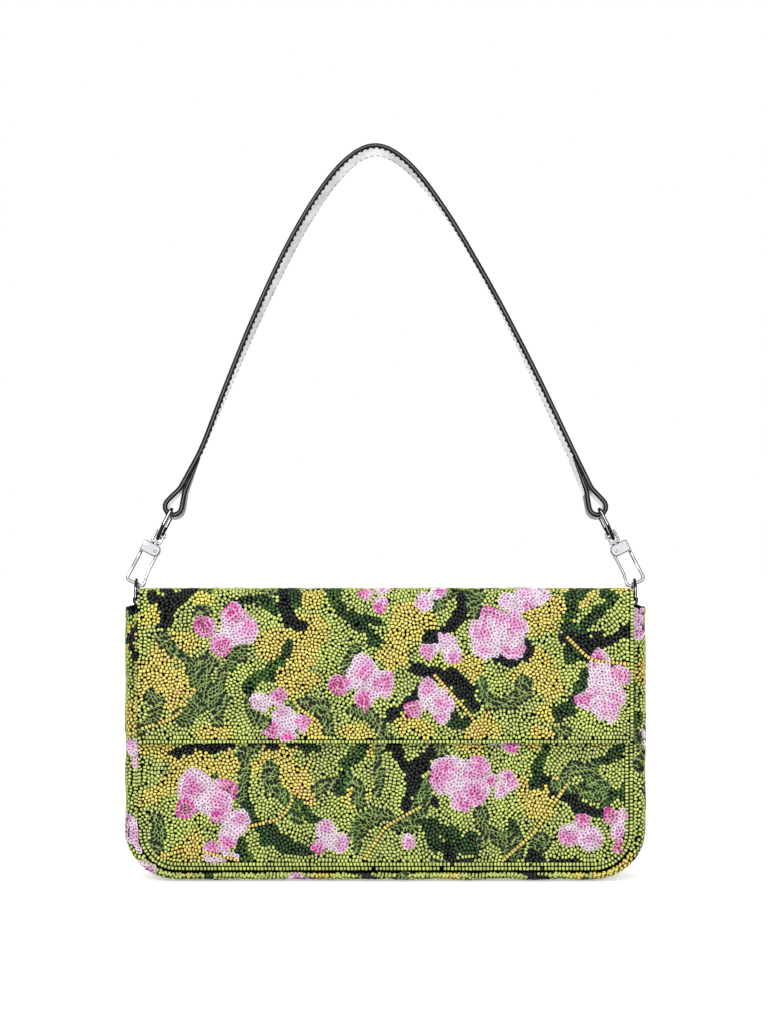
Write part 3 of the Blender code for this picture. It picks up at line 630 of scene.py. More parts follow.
class Patch(Enum):
    """What one area of the beadwork is made of.

    Each has the painted highlight colour of its beads' crowns or its sequins' raised rims, how far
    they go to it, the painted shade colour deep in the gaps, and then its tones.
    """

    GROUND = "#f2fa9e", 0.85, "#060a02", "#3c5416 #56731c #6c8a22 #809d29 #92b033 #a6c242"
    YELLOW = "#fdf694", 0.8, "#281d03", "#ccb42c #d9c434 #e4d044 #ebdc54"
    PEACH = "#fdf0a0", 0.75, "#281706", "#d4b438 #dec044 #e6cc50 #ead658 #e2a45c"
    DARK = "#8fc070", 0.2, "#030504", "#0c1c11 #15301b #0a140d #1e4424 #4a672b"
    BLACK = "#8b9691", 0.09, "#020303", "#080a0b #0e1313 #060808 #142019"
    PINK = "#fffafe", 0.9, "#8a1450", "#fbe3f5 #f3a6df #e255b0 #a81a62"
    FERN = "#d2f28c", 1.0, "#020603", "#06170b #0c2a13 #04110a #1d4a1f"
    STEM = "#fff0a0", 0.7, "#4e3906", "#e2c83c #dfae3e"


SEQUINED = (Patch.PINK, Patch.FERN)
# The rim of a peach patch.
RIM = "#d9c434"


def waves(s: Array, t: Array, size: float, seed: int) -> Array:
    """A smooth random surface from about -1 to 1.

    Args:
        s: places across.
        t: places along.
        size: how wide its hills are, in mm.
        seed: which surface.

    Returns:
        Its height at each place.
    """
    draw = np.random.default_rng(seed)
    total = np.zeros(np.broadcast(s, t).shape)
    for _ in range(6):
        turn, phase, reach = draw.uniform(0, 2 * math.pi, 2).tolist() + [draw.uniform(0.7, 1.5)]
        total = total + np.sin((s * math.cos(turn) + t * math.sin(turn)) * math.pi
                               / (size * reach) + phase)
    return total / 3.0


@dataclass(frozen=True)
class Motif:
    """A petal, leaf, bud or patch of the pattern: a rounded, lobed or pointed shape."""

    patch: Patch
    across: float
    along: float
    wide: float
    tall: float
    turn: float
    lobes: int
    depth: float
    phase: float
    tint: float = 0.4

    def reach(self, angle: Array) -> Array:
        """How far out the outline is.

        Args:
            angle: angles in radians.

        Returns:
            Shares of the half sizes.
        """
        return 1 + self.depth * (np.cos(self.lobes * angle + self.phase)
                                 + 0.7 * np.cos((self.lobes + 1) * angle + 2.3 * self.phase)
                                 + 0.5 * np.cos((self.lobes + 3) * angle + 3.1 * self.phase))

    def local(self, s: Array, t: Array) -> tuple[Array, Array]:
        """Places in the motif's own half sizes, turned with it.

        Args:
            s: places across.
            t: places along.

        Returns:
            How far across and along it they are.
        """
        turn, right, up = math.radians(self.turn), s - self.across, t - self.along
        return ((right * math.cos(turn) + up * math.sin(turn)) / self.wide,
                (up * math.cos(turn) - right * math.sin(turn)) / self.tall)

    def level(self, s: Array, t: Array) -> Array:
        """About how far inside the outline a place is, in mm; outside is negative."""
        u, v = self.local(s, t)
        return (self.reach(np.arctan2(v, u)) - np.hypot(u, v)) * min(self.wide, self.tall)

    def outline(self, grow: float, step: float) -> Array:
        """The outline, moved out by some millimetres.

        Args:
            grow: how far out.
            step: about how far apart its points are.

        Returns:
            Points, the first one repeated at the end.
        """
        angle, turn = np.linspace(0, 2 * math.pi, 73), math.radians(self.turn)
        reach = self.reach(angle)
        right = (self.wide * reach + grow) * np.cos(angle)
        up = (self.tall * reach + grow) * np.sin(angle)
        line = np.stack([self.across + right * math.cos(turn) - up * math.sin(turn),
                         self.along + right * math.sin(turn) + up * math.cos(turn)], -1)
        return even_line(line, step)


@dataclass(frozen=True)
class RowRule:
    """How beads or sequins follow each other in rows, in mm."""

    pitch: float
    row: float
    clear: float


BEAD_ROWS = RowRule(1.9, 2.4, 1.7)
SEQUIN_ROWS = RowRule(2.1, 1.72, 1.42)
# How many places in each square millimetre are tried for loose beads, and how clear they are.
LOOSE = ((0.9, 1.7), (2.2, 1.48))
# A bead is this much narrower along its row, where its hole runs, than across it.
BEAD_SHARE = 0.79
# The area numbers off the cloth and on a stem, and how near the edge the cloth stays bare.
OFF, ON_STEM, BARE = -1, -2, 0.85
# How far inside the edge the first border row lies, and the next ones from it.
BORDER_INSET, BORDER_ROW = 1.15, 2.2
# How far from an outline or stem it still guides the rows.
GUIDED = 12.0
# The cells of the maps of areas, of the ways of rows and of nearby beads.
AREA_CELL, WAY_CELL, NEAR_CELL = 0.5, 2.0, 2.2


@dataclass
class BeadPlan:
    """Where every bead and sequin of one panel goes on its flat cloth."""

    low: tuple[float, float]
    high: tuple[float, float]
    edge: Field
    motifs: Sequence[Motif]
    borders: int
    seed: int
    stems: Sequence[Array] = ()
    corner: float = 0.0

    def __post_init__(self) -> None:
        """Draw the map of areas and the way the rows run, then lay every row."""
        self.draw = np.random.default_rng(self.seed)
        self.units, self.near = [], {}
        self.patches = [Patch.GROUND] + [motif.patch for motif in self.motifs]
        self.beaded = {k for k, patch in enumerate(self.patches) if patch not in SEQUINED}
        grid_s, grid_t = self.grid(AREA_CELL)
        area = np.zeros(grid_s.shape, np.int16)
        for number, motif in enumerate(self.motifs, 1):
            middle = (np.array([motif.across, motif.along]) - self.low) / AREA_CELL
            reach = 1.5 * max(motif.wide, motif.tall) / AREA_CELL
            near = tuple(map(slice, *(np.maximum((middle + way).astype(int), 0)
                                      for way in (-reach, reach))))
            area[near][motif.level(grid_s[near], grid_t[near]) > 0] = number
        area[self.edge(grid_s, grid_t) < BARE] = OFF
        self.areas = area.tolist()
        self.find_ways()
        self.lay()
        self.laid = self.settle()

    def grid(self, cell: float) -> list[Array]:
        """The places across and along of a map with cells of a size."""
        return np.meshgrid(*(np.arange(low, high + cell, cell)
                             for low, high in zip(self.low, self.high)), indexing="ij")

    def find_ways(self) -> None:
        """Let rows run beside the outlines and edges near them, and wander elsewhere."""
        grid_s, grid_t = self.grid(WAY_CELL)
        wander = 1.3 * waves(grid_s, grid_t, 38.0, self.seed + 7)
        total = 0.05 * spokes(2 * wander)
        for line in [motif.outline(0.0, 3.0) for motif in self.motifs] + list(self.stems):
            middle, way = (line[1:] + line[:-1]) / 2, np.diff(line, axis=0)
            ways = spokes(2 * np.arctan2(way[:, 1], way[:, 0]))
            low, high = middle.min(0) - GUIDED, middle.max(0) + GUIDED
            inside = (grid_s > low[0]) & (grid_s < high[0]) & (grid_t > low[1]) & (grid_t < high[1])
            if inside.any():
                spots = np.stack([grid_s[inside], grid_t[inside]], -1)
                far = ((spots[:, None] - middle[None]) ** 2).sum(2)
                total[inside] += np.exp(-np.sqrt(far) / 1.8) @ ways
        near = self.edge(grid_s, grid_t)
        slope_s, slope_t = np.gradient(near, WAY_CELL)
        weight = np.where(near < 7.0, 1.5 * np.exp(-np.abs(near) / 2.2), 0.0)
        total += weight[..., None] * spokes(2 * np.arctan2(slope_s, -slope_t))
        self.ways = spokes(np.arctan2(total[..., 1], total[..., 0]) / 2).tolist()

    def way(self, s: float, t: float) -> list[float]:
        """The way a row runs at a place.

        Args:
            s: the place across.
            t: the place along.

        Returns:
            A way of length 1.
        """
        i = min(max(int((s - self.low[0]) / WAY_CELL + 0.5), 0), len(self.ways) - 1)
        j = min(max(int((t - self.low[1]) / WAY_CELL + 0.5), 0), len(self.ways[0]) - 1)
        return self.ways[i][j]

    def at(self, s: float, t: float) -> int:
        """The area at a place.

        Args:
            s: the place across.
            t: the place along.

        Returns:
            Its number.
        """
        i = int((s - self.low[0]) / AREA_CELL + 0.5)
        j = int((t - self.low[1]) / AREA_CELL + 0.5)
        if 0 <= i < len(self.areas) and 0 <= j < len(self.areas[0]):
            return self.areas[i][j]
        return OFF

    def crowded(self, s: float, t: float, clear: float) -> bool:
        """Whether a bead lies too near a place.

        Args:
            s: the place across.
            t: the place along.
            clear: how near is too near.

        Returns:
            True if one does.
        """
        i, j, limit = int(s // NEAR_CELL), int(t // NEAR_CELL), clear * clear
        return any((x - s) * (x - s) + (y - t) * (y - t) < limit for a in (i - 1, i, i + 1)
                   for b in (j - 1, j, j + 1) for x, y in self.near.get((a, b), ()))

    def place(self, s: float, t: float, way: Sequence[float], area: int | None = None) -> None:
        """Sew one bead or sequin on.

        Args:
            s: the place across.
            t: the place along.
            way: the way its row runs.
            area: its area number, or None for the one that lies there.
        """
        area = self.at(s, t) if area is None else area
        self.units.append((s, t, math.atan2(way[1], way[0]), area))
        self.near.setdefault((int(s // NEAR_CELL), int(t // NEAR_CELL)), []).append((s, t))

    def follow(self, line: Array, area: int | None = None) -> None:
        """Sew a row of beads along a line.

        Args:
            line: the row's line.
            area: the area number to give, or the one that lies there.
        """
        spots = even_line(line, BEAD_ROWS.pitch)
        ways = np.gradient(spots, axis=0)
        spots += ways * (0.16 * (self.draw.random((len(spots), 1)) - 0.5))
        for (s, t), way in zip(spots.tolist(), ways.tolist()):
            if self.at(s, t) >= 0 and not self.crowded(s, t, BEAD_ROWS.clear):
                self.place(s, t, way, area)

    def grow(self, rule: RowRule, fits: set[int], seeds: Iterable) -> None:
        """Fill an area with rows that lie beside each other.

        Args:
            rule: the pitch and row spacing.
            fits: the numbers of the areas that these rows may enter.
            seeds: places where rows may start.
        """
        waiting = deque(seeds)
        while waiting:
            s, t = waiting.popleft()
            if self.at(s, t) not in fits or self.crowded(s, t, rule.clear):
                continue
            first = self.way(s, t)
            self.place(s, t, first)
            row = [(s, t, first)]
            for sign in (1.0, -1.0):
                a, b, way = s, t, (first[0] * sign, first[1] * sign)
                while True:
                    c, d = self.way(a, b)
                    if c * way[0] + d * way[1] < 0:
                        c, d = -c, -d
                    a, b, way = a + c * rule.pitch, b + d * rule.pitch, (c, d)
                    if self.at(a, b) not in fits or self.crowded(a, b, rule.clear):
                        break
                    self.place(a, b, way)
                    row.append((a, b, way))
            for a, b, way in row:
                waiting.append((a - way[1] * rule.row, b + way[0] * rule.row))
                waiting.append((a + way[1] * rule.row, b - way[0] * rule.row))

    def lay(self) -> None:
        """Lay the border rows, stems and outlines first, then fill sequins and beads."""
        (s0, t0), (s1, top) = self.low, self.high
        for number in range(self.borders):
            # The line goes down one side, along the lower edge and up the other side.
            inset = BORDER_INSET + number * BORDER_ROW
            corner = max(0.5, self.corner - inset)
            line = rounded(((s0 + inset, top), (s0 + inset, t0 + inset), (s1 - inset, t0 + inset),
                            (s1 - inset, top)), (0, corner, corner, 0), closed=False)
            self.follow(line[1 + number:], 0)
        for stem_line in self.stems:
            self.follow(stem_line, ON_STEM)
        self.fixed = len(self.units)
        for number, motif in enumerate(self.motifs, 1):
            if motif.patch in SEQUINED:
                self.grow(SEQUIN_ROWS, {number}, motif.outline(-0.8, SEQUIN_ROWS.pitch).tolist())
                self.grow(SEQUIN_ROWS, {number}, self.darts(motif.outline(0.0, 2.0), 0.8))
        for motif in self.motifs:
            self.follow(motif.outline(0.95, BEAD_ROWS.pitch))
        whole = np.array([self.low, self.high])
        self.grow(BEAD_ROWS, self.beaded, self.darts(whole, 0.012))
        for density, clear in LOOSE:
            for s, t in self.darts(whole, density):
                if self.at(s, t) in self.beaded and not self.crowded(s, t, clear):
                    self.place(s, t, self.way(s, t))

    @staticmethod
    def pairs(spots: Array, reach: float) -> Array:
        """All pairs of places that lie near each other.

        Args:
            spots: the places.
            reach: how far apart a pair may be.

        Returns:
            The numbers of each pair, the lower ones first.
        """
        tree = KDTree(len(spots))
        places = [(s, t, 0.0) for s, t in spots.tolist()]
        for number, place in enumerate(places):
            tree.insert(place, number)
        tree.balance()
        return np.array([(number, other) for number, place in enumerate(places)
                         for _, other, _ in tree.find_range(place, reach) if other > number]).T

    def settle(self, room: float = 1.9, rounds: int = 12) -> Array:
        """Push crowded beads apart, as the thread does when a row is pulled tight.

        Args:
            room: how far apart beads come to lie.
            rounds: how many times they are pushed.

        Returns:
            Place across, place along, angle, area and size of each unit.
        """
        units = np.array(self.units)
        spots = units[:, :2].copy()
        free = np.isin(units[:, 3], list(self.beaded))
        free[:self.fixed] = False
        cos, sin = np.cos(units[:, 2]), np.sin(units[:, 2])

        def apart(first: Array, second: Array) -> tuple[Array, Array]:
            """How far beads lie apart.

            Args:
                first: the number of one bead of each pair.
                second: the number of the other.

            Returns:
                The way between them, and how far it is in widths along the row.
            """
            gap = spots[first] - spots[second]
            along = gap[:, 0] * cos[first] + gap[:, 1] * sin[first]
            beside = gap[:, 1] * cos[first] - gap[:, 0] * sin[first]
            return gap, np.hypot(along, BEAD_SHARE * beside)

        for number in range(rounds):
            if number % 4 == 0:
                first, second = self.pairs(spots, room / BEAD_SHARE + 0.4)
            gap, far = apart(first, second)
            far = np.maximum(far, 0.2)
            push = gap * (0.4 * np.maximum(room - far, 0) / far)[:, None]
            move = np.zeros_like(spots)
            np.add.at(move, first, push)
            np.add.at(move, second, -push)
            spots += move * free[:, None]
        strayed = self.edge(spots[:, 0], spots[:, 1]) < BARE
        spots[strayed] = units[strayed, :2]
        # A bead is as large as its nearest neighbour lets it be.
        widest = 2.6
        first, second = self.pairs(spots, widest)
        far, near = apart(first, second)[1], np.full(len(spots), widest)
        np.minimum.at(near, first, far)
        np.minimum.at(near, second, far)
        size = np.where(free, np.clip(near / 1.73, 0.8, 1.12), 1.0)
        return np.column_stack([spots, units[:, 2:], size])

    def darts(self, around: Array, density: float) -> list[list[float]]:
        """Random places in the box of some points.

        Args:
            around: the points.
            density: how many places for each square millimetre.

        Returns:
            The places.
        """
        low, high = np.maximum(around.min(0), self.low), np.minimum(around.max(0), self.high)
        size = np.maximum(high - low, 0)
        return (low + self.draw.random((int(size.prod() * density) + 1, 2)) * size).tolist()

    def colours(self, units: Array) -> tuple[Array, Array, Array]:
        """Three linear colours for each unit: its body's, its crown's and its foot's.

        Args:
            units: s, t, angle, area and size of each.

        Returns:
            The colours of the bodies, the crowns' painted highlights and the feet's painted shade,
            one row a unit.
        """
        s, t, area = units[:, 0], units[:, 1], units[:, 3].astype(int)
        patches = [Patch.STEM if a == ON_STEM else self.patches[a] for a in area]
        inside = np.full(len(units), 9.0)
        for number, motif in enumerate(self.motifs, 1):
            mine = area == number
            inside[mine] = motif.level(s[mine], t[mine])
        share = (0.56 + 0.3 * waves(s, t, 17.0, self.seed + 3) + 0.16 * waves(s, t, 6.0, self.seed
                 + 4) + 0.42 * (self.draw.random(len(units)) - 0.5))
        body, crown, foot = np.zeros((3, len(units), 3))
        for patch in Patch:
            mine = np.array([own is patch for own in patches])
            if not mine.any():
                continue
            pale, lift, deep, tones = patch.value
            tones = np.array([linear(tone)[:3] for tone in tones.split()])
            if patch is Patch.PINK:
                body[mine] = self.blush(s[mine], t[mine], area[mine], inside[mine], tones)
            else:
                body[mine] = tones[np.clip(share[mine] * len(tones), 0, len(tones) - 1).astype(int)]
            if patch is Patch.PEACH:
                # Peach patches are rimmed with one or two rows.
                body[mine & (inside < 2.6 + 1.2 * share)] = linear(RIM)[:3]
            # Painted highlight: the crown goes part of the way to a pale colour.
            crown[mine] = body[mine] + (np.array(linear(pale)[:3]) - body[mine]) * lift
            # Painted shade: the foot takes the dark colour of the gaps.
            foot[mine] = linear(deep)[:3]
        jitter = (0.82 + 0.3 * self.draw.random(len(units)))[:, None]
        return np.clip(body * jitter, 0, 0.93), np.clip(crown * jitter, 0, 0.93), foot

    def blush(self, s: Array, t: Array, area: Array, inside: Array, tones: Array) -> Array:
        """The colour of pink sequins: each petal shades from pale to rose across itself.

        Args:
            s: places across.
            t: places along.
            area: the area number of each.
            inside: how far inside its petal each lies.
            tones: the linear tones from palest to deepest.

        Returns:
            One colour a row.
        """
        tint, slope = np.zeros((2, len(s)))
        for number in np.unique(area):
            mine, motif = area == number, self.motifs[number - 1]
            tint[mine] = motif.tint
            slope[mine] = motif.local(s[mine], t[mine])[0]
        cloud = waves(s, t, 8.0, self.seed + 9)
        share = tint + 0.34 * slope + 0.2 * cloud + 0.16 * (self.draw.random(len(s)) - 0.5)
        # A pale scalloped rim one sequin wide, and a deeper heart.
        share = share - 0.3 * np.clip(2.0 - inside, 0, 1) + 0.25 * np.clip((inside - 3) / 4, 0, 1)
        place = np.clip(share, 0, 1) * (len(tones) - 1)
        return np.stack([np.interp(place, np.arange(len(tones)), tone) for tone in tones.T], -1)


@dataclass(frozen=True)
class Unit:
    """One bead or sequin on its side: its mesh in mm and how its colour runs over it."""

    points: Array
    faces: list
    # How bright each point is painted: painted shade darkens it towards the gap colour.
    bright: Array
    # How far each point goes to the crown's painted highlight.
    crown: Array

    @classmethod
    def ringed(cls, rings: list[Array], tip: float, bright: list[float], crown: Array,
               flip: bool) -> "Unit":
        """A unit of eight-sided rings that close in a tip.

        Args:
            rings: the points of each ring, lowest or outermost first.
            tip: how high the last point is.
            bright: how bright each ring and the tip are painted; lower is painted shade.
            crown: how far each point's colour goes to the crown's painted highlight.
            flip: whether to turn the rings' faces over.

        Returns:
            The unit.
        """
        start, turn, sides = 8 * (len(rings) - 1), np.arange(8), [8] * len(rings) + [1]
        fan = np.stack([start + turn, start + (turn + 1) % 8, np.full(8, start + 8)], -1)
        return cls(np.concatenate(rings + [[[0.0, 0.0, tip]]]),
                   [grid_faces(len(rings), 8, True, flip=flip), fan],
                   np.repeat(bright, sides), crown)


def bead_shape() -> Unit:
    """A pressed seed bead lying on its side: a rounded block with a flat-topped crown.

    Returns:
        Its shape.
    """
    square = spokes(np.radians(22.5 + 45 * np.arange(8)))
    square = np.sign(square) * np.abs(square) ** 0.48 * (0.82, 1.06)
    rings = [np.column_stack([square * wide, np.full(8, high)])
             for wide, high in ((0.97, -0.1), (1.0, 0.42), (0.78, 0.88))]
    # Painted shade darkens the lower rings towards the gap colour; a painted highlight lightens the
    # top ring and tip.
    return Unit.ringed(rings, 0.98, [0.0, 0.08, 0.95, 1.0],
                       np.repeat([0.0, 0.0, 0.4, 1.0], [8, 8, 8, 1]), False)


def sequin_shape() -> Unit:
    """A cupped sequin, tipped as the row overlaps, with its thread at the hole.

    Returns:
        Its shape.
    """
    spoke = spokes(np.radians(45 * np.arange(8)))
    rings = []
    for wide, high in ((1.42, 0.62), (1.02, 0.52), (0.42, 0.46), (0.38, 0.5)):
        flat = spoke * wide
        rings.append(np.column_stack([flat, high + 0.22 * flat[:, 0] + 0.28 * flat[:, 1]]))
    # The raised side of the rim gets a painted highlight, a pale arc.
    raised = np.clip(0.1 + 0.6 * spoke[:, 0] + 0.75 * spoke[:, 1], 0, 1)
    crown = np.concatenate([raised, raised * 0.25, np.zeros(17)])
    # Painted shade darkens the sequin towards its hole.
    return Unit.ringed(rings, 0.72, [1.0, 0.9, 0.6, 0.1, 0.5], crown, True)


def sew(name: str, plan: BeadPlan, surface: Field, start: float, end: float, body: str
        ) -> list[bpy.types.Object]:
    """Turn one band of a plan's beads and sequins into pieces on a curved surface.

    Args:
        name: the start of the pieces' names.
        plan: where each unit lies on the flat cloth.
        surface: gives the place in space of flat places.
        start: where the band starts along the cloth.
        end: where it ends.
        body: the CAD body they ride on, or empty.

    Returns:
        The pieces made.
    """
    units = plan.laid
    bodies, crowns, feet = plan.colours(units)
    chosen = (units[:, 1] >= start) & (units[:, 1] < end)
    sewn = (units[:, 3] > 0) & ~np.isin(units[:, 3], list(plan.beaded))
    made = []
    for word, shape, finish, mine in (("beads", bead_shape(), BEADS, chosen & ~sewn),
                                      ("sequins", sequin_shape(), SEQUINS, chosen & sewn)):
        if not mine.any():
            continue
        s, t, angle, _, size = units[mine].T
        here = surface(s, t)
        right = unit(surface(s + 0.2, t) - here)
        out = unit(np.cross(right, surface(s, t + 0.2) - here))
        up = np.cross(out, right)
        cos, sin = np.cos(angle)[:, None], np.sin(angle)[:, None]
        along, beside = right * cos + up * sin, up * cos - right * sin
        size = size * (0.91 + 0.16 * plan.draw.random(len(s)))
        local = shape.points[None] * size[:, None, None]
        full = (here[:, None] + along[:, None] * local[..., :1] + beside[:, None]
                * local[..., 1:2] + out[:, None] * local[..., 2:])
        flat = np.stack([s[:, None] + local[..., 0] * cos - local[..., 1] * sin,
                         t[:, None] + local[..., 0] * sin + local[..., 1] * cos], -1)
        flat = (flat.reshape(-1, 2) - plan.low) / (np.array(plan.high) - plan.low)
        first = np.arange(len(s))[:, None, None] * len(shape.points)
        quads = [(f[None] + first).reshape(-1, f.shape[1]) for f in shape.faces]
        base, crown, foot = (tones[mine][:, None] for tones in (bodies, crowns, feet))
        # Each point goes towards the crown's painted highlight, then darkens towards the gaps'
        # painted shade.
        tones = base + (crown - base) * shape.crown[None, :, None]
        tones = (foot + (tones - foot) * shape.bright[None, :, None]).reshape(-1, 3)
        made.append(new_piece(f"{name}_{word}", (full.reshape(-1, 3), quads), [finish], body,
                              colours=np.clip(tones, 0, 1), flat=np.clip(flat, 0, 1)))
    return made


def cover(name: str, sheet: Part, plan: BeadPlan, surface: Field, bands: dict[str, float],
          body: str, stands_for: Iterable[str]) -> list[bpy.types.Object]:
    """Make a backing cloth with its beads and sequins.

    Args:
        name: the start of the cloth's name.
        sheet: the cloth's points and faces.
        plan: where each unit lies on it.
        surface: gives the place in space of flat places.
        bands: the names of the beaded bands, and how far along the cloth each one goes.
        body: the CAD body all pieces ride on, or empty.
        stands_for: the CAD nodes that they replace.

    Returns:
        The pieces made.
    """
    made, start = [new_piece(f"{name}_cloth", sheet, [BACKING], body, stands_for)], -math.inf
    for word, end in bands.items():
        made += sew(word, plan, surface, start, end, body)
        start = end
    return made


def blotch(patch: Patch, across: float, along: float, size: float, seed: int, parts: int = 3
           ) -> list[Motif]:
    """An uneven patch: lobed shapes that run into each other.

    Args:
        patch: what it is made of.
        across: its place across the cloth.
        along: its place along the cloth.
        size: about how far it reaches.
        seed: which shape.
        parts: how many shapes make it.

    Returns:
        Its motifs.
    """
    draw, motifs = np.random.default_rng(seed), []
    for number in range(parts):
        way, far = draw.uniform(0, 2 * math.pi), size * draw.uniform(0.5, 0.95) * (number > 0)
        half = size * draw.uniform(0.42, 0.7)
        motifs.append(Motif(patch, across + far * math.cos(way), along + 0.75 * far * math.sin(way),
                            half * draw.uniform(1.0, 1.5), half, draw.uniform(0, 180),
                            int(draw.integers(2, 5)), draw.uniform(0.08, 0.15),
                            draw.uniform(0, 6)))
    return motifs


def petals(across: float, along: float, size: float, seed: int, count: int = 4) -> list[Motif]:
    """A loose blossom: rounded sequined petals of mixed size that huddle together.

    Args:
        across: its place across the cloth.
        along: its place along the cloth.
        size: about how far it reaches.
        seed: which shape.
        count: how many petals it has.

    Returns:
        Its motifs.
    """
    draw, motifs = np.random.default_rng(seed), []
    start = draw.uniform(0, 2 * math.pi)
    for number in range(count):
        way = start + (number + draw.uniform(-0.2, 0.2)) * 2 * math.pi / count
        share = draw.uniform(0.0, 1.0)
        half = size * (0.64 - 0.28 * share)
        far = size * (0.42 + 0.4 * share) * (count > 1)
        motifs.append(Motif(Patch.PINK, across + 1.1 * far * math.cos(way),
                            along + 0.85 * far * math.sin(way), half * draw.uniform(1.05, 1.4),
                            half, math.degrees(way) + draw.uniform(-35, 35),
                            int(draw.integers(2, 4)), draw.uniform(0.03, 0.08),
                            draw.uniform(0, 6), 0.1 + 0.75 * share ** 1.6))
    return motifs


def streak(patch: Patch, across: float, along: float, size: float, seed: int) -> list[Motif]:
    """A winding streak: small shapes that follow each other along a bending line.

    Args:
        patch: what it is made of.
        across: the place of its middle across the cloth.
        along: the place of its middle along the cloth.
        size: about half its length.
        seed: which shape.

    Returns:
        Its motifs.
    """
    draw = np.random.default_rng(seed)
    way, bend = draw.uniform(0, 2 * math.pi), math.radians(draw.uniform(-40, 40))
    s, t = across - size * math.cos(way), along - size * math.sin(way)
    motifs = []
    for _ in range(5):
        motifs.append(Motif(patch, s, t, size * draw.uniform(0.28, 0.44), size
                            * draw.uniform(0.14, 0.32), math.degrees(way), 3,
                            draw.uniform(0.04, 0.12), draw.uniform(0, 6)))
        way += bend + math.radians(draw.uniform(-35, 35))
        s, t = s + 0.45 * size * math.cos(way), t + 0.45 * size * math.sin(way)
    return motifs


def scatter(low: Sequence[float], high: Sequence[float], seed: int, room: float,
            taken: Sequence[Motif] = ()) -> list[Motif]:
    """Strew patches, streaks and petals over a cloth without crowding; petals lie on top.

    Args:
        low: the cloth's lowest corner.
        high: its highest corner.
        seed: which layout.
        room: the least room between middles.
        taken: motifs that keep their room.

    Returns:
        All motifs, the taken ones among them.
    """
    draw = np.random.default_rng(seed)
    spots = [(m.across, m.along, 0.75 * max(m.wide, m.tall)) for m in taken]
    motifs, number = list(taken), 0
    for _ in range(4000):
        s, t = draw.uniform(low, high)
        if any(math.hypot(s - a, t - b) < room * 0.55 + reach for a, b, reach in spots):
            continue
        size, own = draw.uniform(7.0, 11.5), int(draw.integers(1 << 30))
        kind = number % 10
        if kind in (0, 5):
            motifs += blotch(Patch.PEACH, s, t, size * 0.95, own)
        elif kind in (2, 7):
            motifs += petals(s, t, size * 0.95, own, 2 + number % 3)
        elif kind == 3:
            motifs += blotch(Patch.YELLOW, s, t, size * 0.8, own, 2)
        else:
            patch = (Patch.DARK, Patch.FERN, Patch.BLACK, Patch.FERN)[number % 4]
            motifs += streak(patch, s, t, size * 1.5, own)
        spots.append((s, t, size * 0.6))
        number += 1
    return sorted(motifs, key=lambda m: m.patch is Patch.PINK)


def stem(*corners: tuple[float, float]) -> Array:
    """A smooth single row through some corners."""
    return rounded(corners, [0.0] + [14.0] * (len(corners) - 2) + [0.0], closed=False)


# The bag

